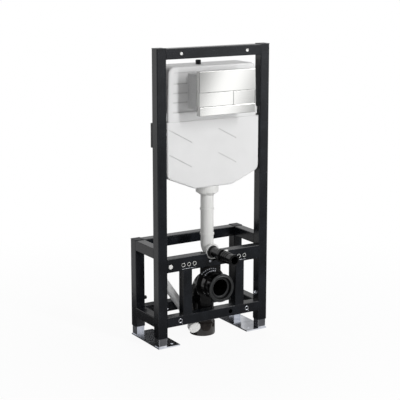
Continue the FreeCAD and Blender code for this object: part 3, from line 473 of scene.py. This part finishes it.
def chromed_abs(tones):
    """Satin chrome over moulded ABS: bright metal with the faintest lines across, near a mirror.

    The colour darkens towards the plate's ends: painted reflection of the shaded cistern beside them.
    """
    tree, place = new_material("chromed_abs")
    # Real brush lines are about 0.1 mm apart; 1.2 mm is the finest that shows
    brushed = add(tree, "ShaderNodeMapping", {"Scale": (0.03, 1, 1)}, {"Vector": place})
    brush = add(tree, "ShaderNodeTexNoise", {"Scale": per_mm(1.2), "Detail": 3}, {"Vector": brushed})
    polish = add(tree, "ShaderNodeValToRGB", links={"Fac": brush},
                 stops=((0.3, darker(tones.chrome, 0.96)), (0.7, tones.chrome)))
    along = add(tree, "ShaderNodeSeparateXYZ", links={"Vector": place}).outputs["X"]
    reach = add(tree, "ShaderNodeMath", links={0: along}, operation="ABSOLUTE")
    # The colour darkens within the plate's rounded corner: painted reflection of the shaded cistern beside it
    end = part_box("flush_plate")[1].x
    share = add(tree, "ShaderNodeMapRange",
                {"From Min": end - 0.6 * MM, "From Max": end - 0.2 * MM, "To Min": 1, "To Max": 0.48},
                {"Value": reach})
    tint = add(tree, "ShaderNodeVectorMath", links={0: polish, "Scale": share}, operation="SCALE")
    gloss = add(tree, "ShaderNodeMapRange", {"To Min": 0.06, "To Max": 0.1}, {"Value": brush})
    bump = add(tree, "ShaderNodeBump", {"Distance": 0.005 * MM, "Strength": 0.12}, {"Height": brush})
    surface(tree, {"Metallic": 1}, {"Base Color": tint, "Roughness": gloss, "Normal": bump})


def moulded_polyethylene(tones):
    """Black drain plastic: glossy and slightly wavy, so highlights run in streaks; warm paler patches near
    the floor are painted reflection.
    """
    tree, place = new_material("moulded_polyethylene")
    wave = add(tree, "ShaderNodeTexNoise", {"Scale": per_mm(30), "Detail": 2}, {"Vector": place})
    height = add(tree, "ShaderNodeSeparateXYZ", links={"Vector": place}).outputs["Z"]
    # Painted reflection: warm paler patches below 140 mm stand in for the drain's brownish reflections
    painted_tone = add(tree, "ShaderNodeMapRange", {"From Min": 140 * MM, "From Max": 60 * MM}, {"Value": height})
    patch = add(tree, "ShaderNodeMath", links={0: painted_tone, 1: wave}, operation="MULTIPLY")
    tint = add(tree, "ShaderNodeValToRGB", links={"Fac": patch},
               stops=((0.1, tones.drain), (0.5, tones.drain_warm)))
    gloss = add(tree, "ShaderNodeMapRange", {"To Min": 0.05, "To Max": 0.12}, {"Value": wave})
    bump = add(tree, "ShaderNodeBump", {"Distance": 0.1 * MM, "Strength": 0.2}, {"Height": wave})
    surface(tree, {"IOR": 1.51, "Specular IOR Level": 0.4},
            {"Base Color": tint, "Roughness": gloss, "Normal": bump})


def moulded_rubber(tones):
    """Grey rubber seal: dull, with a fine dry bloom."""
    tree, place = new_material("moulded_rubber")
    bloom = add(tree, "ShaderNodeTexNoise", {"Scale": per_mm(4), "Detail": 4}, {"Vector": place})
    tint = add(tree, "ShaderNodeValToRGB", links={"Fac": bloom},
               stops=((0.3, darker(tones.seal, 0.7)), (0.7, tones.seal)))
    gloss = add(tree, "ShaderNodeMapRange", {"To Min": 0.25, "To Max": 0.4}, {"Value": bloom})
    bump = add(tree, "ShaderNodeBump", {"Distance": 0.05 * MM, "Strength": 0.4}, {"Height": bloom})
    surface(tree, {"IOR": 1.52}, {"Base Color": tint, "Roughness": gloss, "Normal": bump})


FINISHES = {
    "frame_paint": powder_coated_steel,
    "tube_cap": moulded_polyamide,
    "zinc": zinc_plated_steel,
    "cistern_plastic": moulded_polypropylene,
    "flush_pipe_plastic": extruded_polyethylene,
    "shaft_plastic": foamed_polystyrene,
    "chrome": chromed_abs,
    "black_plastic": moulded_polyethylene,
}


class TOILETFRAME_OT_finishes(bpy.types.Operator):
    """Give every CAD piece the finish of its slot in the record"""
    bl_idname = "toiletframe.finishes"
    bl_label = "Finish the CAD pieces"

    def execute(self, context):
        tones = context.scene.toilet_finishes
        for make in (moulded_rubber, moulded_pvc, *FINISHES.values()):
            make(tones)
        for entry in frame["record"]["subparts"]:
            node = frame["nodes"][entry["node"]]
            # The conduit's cap takes its own brighter white: painted light
            finish = moulded_pvc if entry["node"] == "conduit_cap" else FINISHES[entry["material_slot"]]
            node.data.materials.clear()
            node.data.materials.append(bpy.data.materials[finish.__name__])
            pick(node)
            bpy.ops.object.shade_smooth_by_angle(angle=math.radians(25))
        deselect()
        return {"FINISHED"}


# Outlines of turned pieces, as radius and height in millimetres
HANGER_SCREW = ((0, 0), (5, 0), (5, 0.8), (4.6, 1.1), (3.6, 1.1), (3.4, 2.4), (2.6, 3.2), (1.2, 3.4),
                (1.2, 2.4), (0, 2.4))
CLAMP_NUT = ((0, 0), (8.5, 0), (8.5, 2.2), (7.6, 3), (0, 3))
SOCKET_SEAL = ((19.7, -0.5), (24.5, -0.5), (24.5, 1.2), (23.6, 2.2), (20.4, 2.6), (19.7, 1.8))
CONNECTOR_CLAMP = ((24.1, -64.5), (27, -64.5), (28, -65.5), (28, -70), (26.6, -71.5), (26.6, -73),
                   (28, -74.5), (28, -78.5), (27, -79.5), (24.1, -79.5))

# Corners of a washer's lock tab from its hole's middle, and of the connector's clip from the flush
# bend's mouth
TAB_LOW, TAB_HIGH = Vector((5.3, -1.6, -14.9)) * MM, Vector((7.7, 0, -8.5)) * MM
CLIP_LOW, CLIP_HIGH = Vector((0, -87, 13)) * MM, Vector((15, -79, 25)) * MM

# Toothed straps over the drain's shoulder: name, inner and outer radius, back and front before the
# hanger in millimetres, count of teeth, and the first tooth's angle and the pitch in degrees
STRAPS = (
    ("hanger_teeth", 57, 62.5, 0.3, 3.5, 8, -44, 9),
    ("shoulder_teeth", 53.6, 56.4, 12, 17, 7, -38, 8),
)


class TOILETFRAME_OT_pan_bushes(bpy.types.Operator):
    """White bushes in the pan bolt holes, and the pressed bead below each group of three"""
    bl_idname = "toiletframe.pan_bushes"
    bl_label = "Pan bolt bushes"

    def execute(self, context):
        sizes = context.scene.toilet_fasteners
        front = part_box("pan_bolt_crossbar")[0].y
        places = []
        for name in ("pan_bolts_180", "pan_bolts_230", "pan_bolts_280"):
            middle, dims = mount(name)
            places += [Vector((side * dims["spacing_x_mm"] / 2, front, middle.z)) for side in (-1, 1)]
        bush = turned("pan_bush_1", self.outline(sizes), places[0], FORWARD)
        names = [f"pan_bush_{index}" for index in range(2, len(places) + 1)]
        for piece in copies(bush, names, [place - places[0] for place in places[1:]]):
            fit(piece, "frame", "extruded_polyethylene")
        level = places[0].z - sizes.bead_drop
        half, bite = sizes.bead_width / 2, sizes.bead_proud / 4
        for side, name in ((-1, "left_pan_bead"), (1, "right_pan_bead")):
            ends = sorted((side * sizes.bead_near, side * sizes.bead_far))
            bead = block(name, (ends[0], front - sizes.bead_proud, level - half),
                         (ends[1], front + bite, level + half), edge=0.35 * MM, taper=0.3 * MM)
            fit(bead, "frame", "zinc_plated_steel")
        return {"FINISHED"}

    def outline(self, sizes):
        """A sleeve in the hole and a rounded flange before it."""
        rim, sleeve, bore = sizes.bush_flange / 2 / MM, sizes.bush_sleeve / 2 / MM, sizes.bush_bore / 2 / MM
        depth, proud = -sizes.bush_depth / MM, sizes.bush_proud / MM
        edge = 0.6
        return [(bore, depth), (sleeve, depth), (sleeve, 0), (rim, 0), (rim, proud * 0.6),
                (rim - edge, proud), (bore + edge, proud), (bore, proud * 0.4)]


class TOILETFRAME_OT_hole_plugs(bpy.types.Operator):
    """White plugs in the crossbar's left end and in the wall holes, and the drain hanger's two screws"""
    bl_idname = "toiletframe.hole_plugs"
    bl_label = "Hole plugs and screws"

    def execute(self, context):
        sizes = context.scene.toilet_fasteners
        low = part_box("pan_bolt_crossbar")[0]
        level = mount("pan_bolts_180")[0].z
        self.plug("crossbar_plug", sizes.plug_size, (low.x + sizes.plug_inset, low.y, level))
        middle, dims = mount("wall_bolts")
        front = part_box("top_bar")[0].y
        for side, name in ((-1, "left_wall_plug"), (1, "right_wall_plug")):
            self.plug(name, sizes.wall_plug_size, (side * dims["spacing_x_mm"] / 2, front, middle.z))
        for index, side in enumerate((-1, 1), start=1):
            place = (side * sizes.screw_side, low.y, level - sizes.screw_drop)
            screw = turned(f"hanger_screw_{index}", HANGER_SCREW, place, FORWARD, 24)
            fit(screw, "frame", "zinc_plated_steel")
        return {"FINISHED"}

    def plug(self, name, size, place):
        """A pressed-in plug with a low dished head."""
        rim = size / 2 / MM
        dish = rim * 0.55
        edge, crown, base = 0.8, 2.1, 1.8
        outline = [(0, 0), (rim, 0), (rim, edge), (rim - edge, 1.7), (dish + 1, crown), (dish, base),
                   (0, base)]
        head = turned(name, outline, place, FORWARD)
        fit(head, "frame", "extruded_polyethylene")


class TOILETFRAME_OT_rail_washers(bpy.types.Operator):
    """Washers round the lower rail's outer holes, each with its folded lock tab"""
    bl_idname = "toiletframe.rail_washers"
    bl_label = "Lower rail washers"

    def execute(self, context):
        outline = self.outline(context.scene.toilet_fasteners)
        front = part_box("front_lower_rail")[0].y
        middle, dims = mount("rail_holes_307")
        for side, name in ((-1, "left_rail_washer"), (1, "right_rail_washer")):
            place = Vector((side * dims["spacing_x_mm"] / 2, front, middle.z))
            ring = turned(name, outline, place, FORWARD)
            tab = block(name + "_tab", place + TAB_LOW, place + TAB_HIGH, edge=0.3 * MM, taper=0.3 * MM)
            fit(join(name, [ring, tab]), "frame", "zinc_plated_steel")
        return {"FINISHED"}

    def outline(self, sizes):
        """A thin sleeve in the hole and a chamfered ring before it."""
        rim, sleeve = sizes.washer_size / 2 / MM, sizes.washer_sleeve / 2 / MM
        bore, depth, proud = sizes.washer_bore / 2 / MM, -sizes.washer_depth / MM, sizes.washer_proud / MM
        return [(bore, depth), (sleeve, depth), (sleeve, 0), (rim, 0), (rim, proud - 0.5), (rim - 0.6, proud),
                (bore + 1, proud), (bore, proud - 0.8)]


class TOILETFRAME_OT_foot_clamps(bpy.types.Operator):
    """The bolts and the knob that clamp the telescopic feet inside the tubes"""
    bl_idname = "toiletframe.foot_clamps"
    bl_label = "Foot clamps"

    def execute(self, context):
        sizes = context.scene.toilet_fasteners
        for side, inward in (("left", RIGHT), ("right", LEFT)):
            for tube in ("upright", "rear_leg"):
                low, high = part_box(f"{side}_{tube}")
                inner = high.x if inward.x > 0 else low.x
                place = Vector((inner, (low.y + high.y) / 2, sizes.clamp_level))
                make = self.knob if (side, tube) == ("left", "rear_leg") else self.bolt
                make(f"{side}_{tube}_clamp", place, inward, sizes)
        return {"FINISHED"}

    def knob(self, name, place, inward, sizes):
        """A round black knob on a short neck."""
        grip, reach, neck = sizes.knob_size / 2 / MM, sizes.knob_length / MM, sizes.knob_neck / MM
        edge = 2
        outline = [(0, 0), (neck, 0), (neck, neck), (grip - 1, neck), (grip, neck + 1.5),
                   (grip, reach - edge), (grip - edge, reach), (0, reach)]
        knob = turned(name, outline, place, inward, 32)
        fit(knob, "frame", "moulded_polyethylene")

    def bolt(self, name, place, inward, sizes):
        """A hexagonal bolt head on a round nut."""
        nut = turned(name + "_nut", CLAMP_NUT, place, inward, 32)
        seat = place + inward * sizes.clamp_seat
        head = hexagon(name, sizes.clamp_head, sizes.clamp_height, seat, inward, sizes.clamp_dish)
        fit(join(name, [head, nut]), "frame", "zinc_plated_steel")


class TOILETFRAME_OT_drain_seal(bpy.types.Operator):
    """The rubber rings of the drain's mouth and the toothed straps that hold its shoulder"""
    bl_idname = "toiletframe.drain_seal"
    bl_label = "Drain seal and straps"

    def execute(self, context):
        sizes = context.scene.toilet_fasteners
        low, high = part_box("drain_socket")
        middle = (low + high) / 2
        mouth = Vector((middle.x, low.y, middle.z))
        rim, recess = (high.z - low.z) / 2 / MM, sizes.drain_recess / 2 / MM
        bore = mount("drain_inlet")[1]["r_mm"] / MM
        ring = [(recess + 1.5, 0), (recess + 1.7, 1.8), (recess + 2.8, 2.3), (recess + 4, 0.8),
                (rim - 3.4, 0.6), (rim - 2.2, 2.2), (rim - 0.8, 1.8), (rim - 0.4, 0)]
        lip = [(bore + 0.2, -11.9), (recess - 0.2, -11.9), (recess - 0.2, -10.6), (bore + 6, -10.2),
               (bore + 4.2, -7.2), (bore + 1.6, -7), (bore + 0.2, -8.2)]
        for name, outline in (("drain_mouth_ring", ring), ("drain_inner_lip", lip)):
            seal = turned(name, outline, mouth, FORWARD, 72)
            fit(seal, "frame", "moulded_rubber", angle=50)
        place = (middle.x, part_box("drain_hanger")[0].y, middle.z)
        for strap in STRAPS:
            self.strap(place, sizes.tooth_width / 2, *strap)
        return {"FINISHED"}

    def strap(self, place, half, name, inner, outer, back, front, count, first, pitch):
        """A row of teeth round the drain's axis."""
        teeth = []
        for index in range(count):
            tooth = block("tooth", (-half, -front * MM, inner * MM), (half, -back * MM, outer * MM),
                          edge=0.5 * MM, taper=0.6 * MM)
            pick(tooth)
            tooth.rotation_euler.y = math.radians(first + pitch * index)
            tooth.location = place
            bpy.ops.object.transform_apply(location=True, rotation=True, scale=True)
            teeth.append(tooth)
        # The teeth are real; their bright zinc is painted highlight on the shoulder's black ribs
        fit(join(name, teeth), "frame", "zinc_plated_steel")


class TOILETFRAME_OT_connector_clip(bpy.types.Operator):
    """The clamp with its white clip and the lip on the flush connector, and the flush bend's seal"""
    bl_idname = "toiletframe.connector_clip"
    bl_label = "Flush connector clip"

    def execute(self, context):
        low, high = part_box("flush_connector")
        mouth = Vector((0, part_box("flush_bend")[0].y, (low.z + high.z) / 2))
        seal = turned("flush_socket_seal", SOCKET_SEAL, mouth, FORWARD, 56)
        fit(seal, "frame", "moulded_rubber")
        end = (low.y - mouth.y) / MM
        lip = [(20.6, end + 8), (22, end + 7), (22.6, end + 3), (22, end + 1.2), (20.6, end + 1.5)]
        for name, outline in (("connector_clamp", CONNECTOR_CLAMP), ("connector_lip", lip)):
            ring = turned(name, outline, mouth, BACK, 56)
            fit(ring, "frame", "moulded_polyethylene")
        clip = block("connector_clip", mouth + CLIP_LOW, mouth + CLIP_HIGH, edge=0.8 * MM, taper=1.2 * MM)
        fit(clip, "frame", "extruded_polyethylene")
        return {"FINISHED"}


class TOILETFRAME_OT_plate_cheeks(bpy.types.Operator):
    """The chromed cheeks that close the flush plate's ends beside the buttons"""
    bl_idname = "toiletframe.plate_cheeks"
    bl_label = "Flush plate cheeks"

    def execute(self, context):
        sizes = context.scene.toilet_fasteners
        low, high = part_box("flush_plate")
        below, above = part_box("full_flush_button")
        for name, inner, out in (("left_plate_cheek", low.x, -1), ("right_plate_cheek", high.x, 1)):
            ends = sorted((inner + out * sizes.cheek_gap, inner + out * (sizes.cheek_gap + sizes.cheek)))
            edge = sizes.cheek / 5
            cheek = block(name, (ends[0], low.y + sizes.cheek, below.z - sizes.cheek),
                          (ends[1], high.y, above.z + sizes.cheek), edge, taper=edge)
            fit(cheek, "frame", "chromed_abs", angle=10)
        return {"FINISHED"}


class TOILETFRAME_OT_bracket_tabs(bpy.types.Operator):
    """The folded tabs that close the outer ends of the cistern's brackets"""
    bl_idname = "toiletframe.bracket_tabs"
    bl_label = "Cistern bracket tabs"

    def execute(self, context):
        sheet = context.scene.toilet_fasteners.bracket_sheet
        edge = sheet / 8
        for side, out in (("left", -1), ("right", 1)):
            low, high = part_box(f"{side}_cistern_bracket")
            outer = high.x if out > 0 else low.x
            ends = sorted((outer - out * edge, outer - out * sheet))
            tab = block(f"{side}_bracket_tab", (ends[0], low.y + edge, low.z + sheet),
                        (ends[1], high.y - sheet, high.z - sheet), edge, taper=edge)
            fit(tab, "frame", "powder_coated_steel")
        return {"FINISHED"}


class TOILETFRAME_OT_water_inlet(bpy.types.Operator):
    """The moulded thread of the water inlet"""
    bl_idname = "toiletframe.water_inlet"
    bl_label = "Water inlet"

    def execute(self, context):
        sizes = context.scene.toilet_fasteners
        low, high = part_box("water_inlet")
        middle = Vector(((low.x + high.x) / 2, (low.y + high.y) / 2, low.z))
        outer, height = (high.x - low.x) / 2 / MM, (high.z - low.z) / MM
        bore = mount("water_supply")[1]["r_mm"] / MM + 0.1
        root, crest, pitch = outer + 0.05, outer + sizes.thread_crest / MM, sizes.thread_pitch / MM
        foot, first, turns, top, sleeve = 0.4, 1.4, 7, height + 0.2, 4
        profile = [(bore, height - sleeve), (root, foot)]
        for turn in range(turns):
            level = first + turn * pitch
            profile += [(root, level), (crest, level + pitch / 3), (root, level + pitch * 2 / 3)]
        profile += [(outer - 0.6, top), (bore, top)]
        thread = turned("inlet_thread", profile, middle, UP)
        fit(thread, "frame", "moulded_polyamide")
        return {"FINISHED"}


class TOILETFRAME_OT_weld_seams(bpy.types.Operator):
    """The painted weld beads where the frame's rails meet its standing tubes"""
    bl_idname = "toiletframe.weld_seams"
    bl_label = "Weld seams"

    def execute(self, context):
        sizes = context.scene.toilet_fasteners
        sides = ("left", "right")
        runs = {0: ["top_bar", "front_lower_rail", "rear_top_rail", "rear_lower_rail", "pan_bolt_crossbar"],
                1: [f"{side}_{level}_side_rail" for side in sides for level in ("top", "lower")],
                2: [f"{side}_inner_post" for side in sides]}
        for along, rails in runs.items():
            for rail in rails:
                low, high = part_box(rail)
                wide = high - low
                for axis in range(3):
                    # A bead on the object's outside is ground flush, so it stays in the CAD box
                    if min(low[axis] - CAD_BOX[0][axis], CAD_BOX[1][axis] - high[axis]) < sizes.weld:
                        wide[axis] -= 2 * sizes.weld
                for end, level in (("start", low[along]), ("end", high[along])):
                    place = (low + high) / 2
                    place[along] = level
                    self.bead(f"{rail}_weld_{end}", place, wide, along, sizes)
        return {"FINISHED"}

    def bead(self, name, place, wide, along, sizes):
        """One closed bead round the end of a rail that runs along an axis."""
        deselect()
        bpy.ops.mesh.primitive_plane_add(size=1)
        piece = bpy.context.object
        across = {0: (wide.z, wide.y), 1: (wide.x, wide.z), 2: (wide.x, wide.y)}[along]
        piece.scale = (*across, 1)
        bpy.ops.object.transform_apply(location=True, rotation=True, scale=True)
        bpy.ops.object.mode_set(mode="EDIT")
        bpy.ops.mesh.select_mode(type="VERT")
        bpy.ops.mesh.select_all(action="SELECT")
        bpy.ops.mesh.bevel(offset=sizes.weld_corner, segments=3, affect="VERTICES")
        bpy.ops.mesh.delete(type="ONLY_FACE")
        bpy.ops.object.mode_set(mode="OBJECT")
        bpy.ops.object.convert(target="CURVE")
        piece.data.bevel_depth = sizes.weld
        piece.data.bevel_resolution = 1
        bpy.ops.object.convert(target="MESH")
        piece = bpy.context.object
        piece.name = name
        piece.rotation_euler = {0: (0, math.pi / 2, 0), 1: (math.pi / 2, 0, 0), 2: (0, 0, 0)}[along]
        piece.location = place
        bpy.ops.object.transform_apply(location=True, rotation=True, scale=True)
        bpy.ops.object.mode_set(mode="EDIT")
        bpy.ops.mesh.select_all(action="SELECT")
        bpy.ops.mesh.normals_make_consistent(inside=False)
        bpy.ops.object.mode_set(mode="OBJECT")
        fit(piece, "frame", "powder_coated_steel", angle=60)


# Grey studio cards that only reflections see: name, middle, facing, size in metres, turn in degrees
# and grey. The turned one lies where the left upright's foot mirrors the floor
FLAGS = (
    ("front_mat", (0.78, -1.355, 0.1 * MM), UP, (2.5, 2.59), 0, 0.26),
    ("foot_mat", (0.1, -0.115, 0.3 * MM), UP, (0.9, 0.11), 0, 0.13),
    ("front_riser", (1.2, -2.65, 0.22), BACK, (2.0, 0.45), 0, 0.3),
    ("side_mat", (-2.0, 2.3, 0.1 * MM), UP, (3.4, 5.2), 0, 0.72),
    ("under_mat", (0.2, 0.835, 0.3 * MM), UP, (1.4, 1.63), 0, 0.08),
    ("upright_foot_mat", (-0.319, 0.102, 0.5 * MM), UP, (0.06, 0.28), 29.4, 0.02),
    ("left_edge_mat", (-0.27, -0.01, 0.3 * MM), UP, (0.04, 0.06), 0, 0.02),
    ("right_edge_mat", (0.135, -0.01, 0.3 * MM), UP, (0.04, 0.06), 0, 0.02),
    ("right_foot_card", (0.08, 0.25, 0.09), FORWARD, (0.24, 0.09), 0, 0.02),
    ("left_plate_card", (0.39, 0.8, 0.24), FORWARD, (0.54, 0.3), 0, 0.03),
    ("right_plate_card", (0.86, 0.8, 0.24), FORWARD, (0.3, 0.3), 0, 0.42),
    ("back_card", (1.65, 2.5, 1.0), FORWARD, (1.6, 1.9), 0, 0.75),
    ("back_left_card", (0.0, 2.5, 1.0), FORWARD, (1.7, 1.9), 0, 0.12),
    ("left_card", (-2.6, -0.9, 0.6), RIGHT, (4.6, 1.5), 0, 0.3),
    ("front_left_card", (-0.8, -4.0, 0.6), BACK, (3.8, 1.6), 0, 0.3),
    ("low_softbox", (0.9, -0.7, 1.3), DOWN, (1.2, 1.4), 0, 5.0),
)

# The pale card that the chromed plate mirrors: its middle, facing and size, the line along which its
# bright band runs and where that starts and ends, its strength, and its greys from start to end
BAND_PLACE, BAND_FACING, BAND_SIZE = (1.356, -2.209, 0.682), (-0.5424, 0.8316, 0.1212), (0.5, 0.44)
BAND_LINE, BAND_START, BAND_END, BAND_STRENGTH = (-1, -0.35, 0), -0.21, 0.2, 1.2
BAND_GREYS = ((0, 0.26), (0.17, 0.55), (0.37, 1), (0.63, 1), (0.8, 0.68), (1, 0.34))

# Soft lamps: name, place, target and size in metres, and the setting of the power
LAMPS = (
    ("front_lamp", (0.8, -3.45, 1.9), (0, 0, 1), (0.4, 3.0), "key_power"),
    ("back_lamp", (1.2, 2.8, 2.9), (0, 0, 0.7), (2.4, 2.4), "back_power"),
)


class TOILETFRAME_OT_stage(bpy.types.Operator):
    """White floor and surround, studio cards, two soft lamps and the camera at the photograph's angle"""
    bl_idname = "toiletframe.stage"
    bl_label = "Studio"

    def execute(self, context):
        scene = context.scene
        stage = scene.toilet_stage
        scene.view_settings.view_transform = "Standard"
        self.surround(scene, stage.fill)
        self.floor(stage)
        self.flags()
        self.bright_card()
        for name, place, target, size, power in LAMPS:
            self.lamp(name, place, target, size, getattr(stage, power))
        bpy.ops.object.camera_add(location=stage.camera_place)
        camera = context.object
        camera.name = "photo_camera"
        camera.rotation_euler = (math.pi / 2 - stage.camera_dip, 0, -stage.camera_turn)
        camera.data.lens = stage.camera_lens
        camera.data.shift_y = stage.camera_shift
        scene.camera = camera
        return {"FINISHED"}

    def lamp(self, name, place, target, size, power):
        """A soft lamp that lights the object and isn't mirrored in it."""
        deselect()
        bpy.ops.object.light_add(type="AREA", location=place)
        lamp = bpy.context.object
        lamp.name = name
        lamp.data.shape = "RECTANGLE"
        lamp.data.size, lamp.data.size_y = size
        lamp.data.energy = power
        lamp.visible_glossy = False
        lamp.rotation_mode = "QUATERNION"
        lamp.rotation_quaternion = (Vector(target) - lamp.location).to_track_quat("-Z", "Y")

    def surround(self, scene, fill):
        """White for the camera and for reflections, softer for the light on dull surfaces."""
        world = bpy.data.worlds.new("white_surround")
        world.use_nodes = True
        tree = world.node_tree
        tree.nodes.clear()
        strength = add(tree, "ShaderNodeMapRange", {"To Min": fill}, {"Value": self.seen(tree)})
        light = add(tree, "ShaderNodeBackground", {"Color": (1, 1, 1, 1)}, {"Strength": strength})
        add(tree, "ShaderNodeOutputWorld", links={"Surface": light})
        scene.world = world

    def seen(self, tree):
        """1 for camera, glossy and transmission rays, and 0 for the rest."""
        path = add(tree, "ShaderNodeLightPath").outputs
        direct = add(tree, "ShaderNodeMath", operation="MAXIMUM",
                     links={0: path["Is Camera Ray"], 1: path["Is Glossy Ray"]})
        return add(tree, "ShaderNodeMath", operation="MAXIMUM",
                   links={0: direct, 1: path["Is Transmission Ray"]})

    def floor(self, stage):
        """A wide floor that takes the object's shadow near it and turns pure white farther out."""
        deselect()
        # It lies a little low, so that the foot plates' soles don't share its plane
        bpy.ops.mesh.primitive_plane_add(size=stage.floor_size, location=(0, 0, -0.5 * MM))
        floor = bpy.context.object
        floor.name = "studio_floor"
        bpy.ops.object.transform_apply(location=True, rotation=True, scale=True)
        tree, place = new_material("white_studio_paint")
        paint = add(tree, "ShaderNodeBsdfDiffuse", {"Color": (0.9, 0.9, 0.9, 1)})
        glow = add(tree, "ShaderNodeEmission", {"Color": (1, 1, 1, 1), "Strength": 1.0})
        away = add(tree, "ShaderNodeVectorMath", links={0: place}, operation="LENGTH").outputs["Value"]
        bare = add(tree, "ShaderNodeMapRange",
                   {"From Min": stage.shadow_near, "From Max": stage.shadow_far, "To Min": stage.floor_glow},
                   {"Value": away})
        share = add(tree, "ShaderNodeMath", links={0: bare, 1: self.seen(tree)}, operation="MULTIPLY")
        mix = add(tree, "ShaderNodeMixShader", links={0: share, 1: paint, 2: glow})
        add(tree, "ShaderNodeOutputMaterial", links={"Surface": mix})
        floor.data.materials.append(bpy.data.materials["white_studio_paint"])

    def card(self, name, centre, facing, size, turn=0.0):
        """A studio card that only reflections see, and its empty material's tree and coordinates."""
        deselect()
        bpy.ops.mesh.primitive_plane_add(size=1, location=centre)
        card = bpy.context.object
        card.name = name
        card.scale = (*size, 1)
        bpy.ops.object.transform_apply(location=False, rotation=False, scale=True)
        card.rotation_mode = "QUATERNION"
        card.rotation_quaternion = (Quaternion(facing, math.radians(turn))
                                    @ Vector(facing).to_track_quat("Z", "Y"))
        for ray in ("camera", "diffuse", "shadow", "transmission", "volume_scatter"):
            setattr(card, "visible_" + ray, False)
        tree, place = new_material(name)
        card.data.materials.append(bpy.data.materials[name])
        return tree, place

    def flags(self):
        """Plain grey cards for what the tubes, pipes and foot plates mirror."""
        for name, centre, facing, size, turn, level in FLAGS:
            tree = self.card(name, centre, facing, size, turn)[0]
            glow = add(tree, "ShaderNodeEmission", {"Color": (1, 1, 1, 1), "Strength": level})
            add(tree, "ShaderNodeOutputMaterial", links={"Surface": glow})

    def bright_card(self):
        """A pale card with a slanting bright band, which the chromed plate mirrors."""
        tree, place = self.card("banded_card", BAND_PLACE, BAND_FACING, BAND_SIZE)
        along = add(tree, "ShaderNodeVectorMath", {1: BAND_LINE}, {0: place}, operation="DOT_PRODUCT")
        across = add(tree, "ShaderNodeMapRange", {"From Min": BAND_START, "From Max": BAND_END},
                     {"Value": along.outputs["Value"]})
        band = add(tree, "ShaderNodeValToRGB", links={"Fac": across},
                   stops=[(at, (level,) * 3) for at, level in BAND_GREYS])
        glow = add(tree, "ShaderNodeEmission", {"Strength": BAND_STRENGTH}, {"Color": band})
        add(tree, "ShaderNodeOutputMaterial", links={"Surface": glow})


OPERATORS = (
    TOILETFRAME_OT_finishes, TOILETFRAME_OT_pan_bushes, TOILETFRAME_OT_hole_plugs,
    TOILETFRAME_OT_rail_washers, TOILETFRAME_OT_foot_clamps, TOILETFRAME_OT_drain_seal,
    TOILETFRAME_OT_connector_clip, TOILETFRAME_OT_plate_cheeks, TOILETFRAME_OT_bracket_tabs,
    TOILETFRAME_OT_water_inlet, TOILETFRAME_OT_weld_seams, TOILETFRAME_OT_stage,
)


class TOILETFRAME_PT_dress(bpy.types.Panel):
    """Steps that dress the toilet frame, in order"""
    bl_idname = "TOILETFRAME_PT_dress"
    bl_label = "Toilet frame"
    bl_space_type = "VIEW_3D"
    bl_region_type = "UI"
    bl_category = "Toilet frame"

    def draw(self, context):
        for operator in OPERATORS:
            self.layout.operator(operator.bl_idname)


CLASSES = (FinishSettings, FastenerSettings, StageSettings, *OPERATORS, TOILETFRAME_PT_dress)


def register():
    """Make the settings, operators and panel known to Blender."""
    for cls in CLASSES:
        bpy.utils.register_class(cls)
    bpy.types.Scene.toilet_finishes = bpy.props.PointerProperty(type=FinishSettings)
    bpy.types.Scene.toilet_fasteners = bpy.props.PointerProperty(type=FastenerSettings)
    bpy.types.Scene.toilet_stage = bpy.props.PointerProperty(type=StageSettings)


def unregister():
    """Take the settings, operators and panel out of Blender again."""
    for name in ("toilet_finishes", "toilet_fasteners", "toilet_stage"):
        delattr(bpy.types.Scene, name)
    for cls in reversed(CLASSES):
        bpy.utils.unregister_class(cls)


def main():
    """Dress the frame step by step."""
    register()
    for operator in OPERATORS:
        group, name = operator.bl_idname.split(".")
        getattr(getattr(bpy.ops, group), name)()


if __name__ == "__main__":
    main()
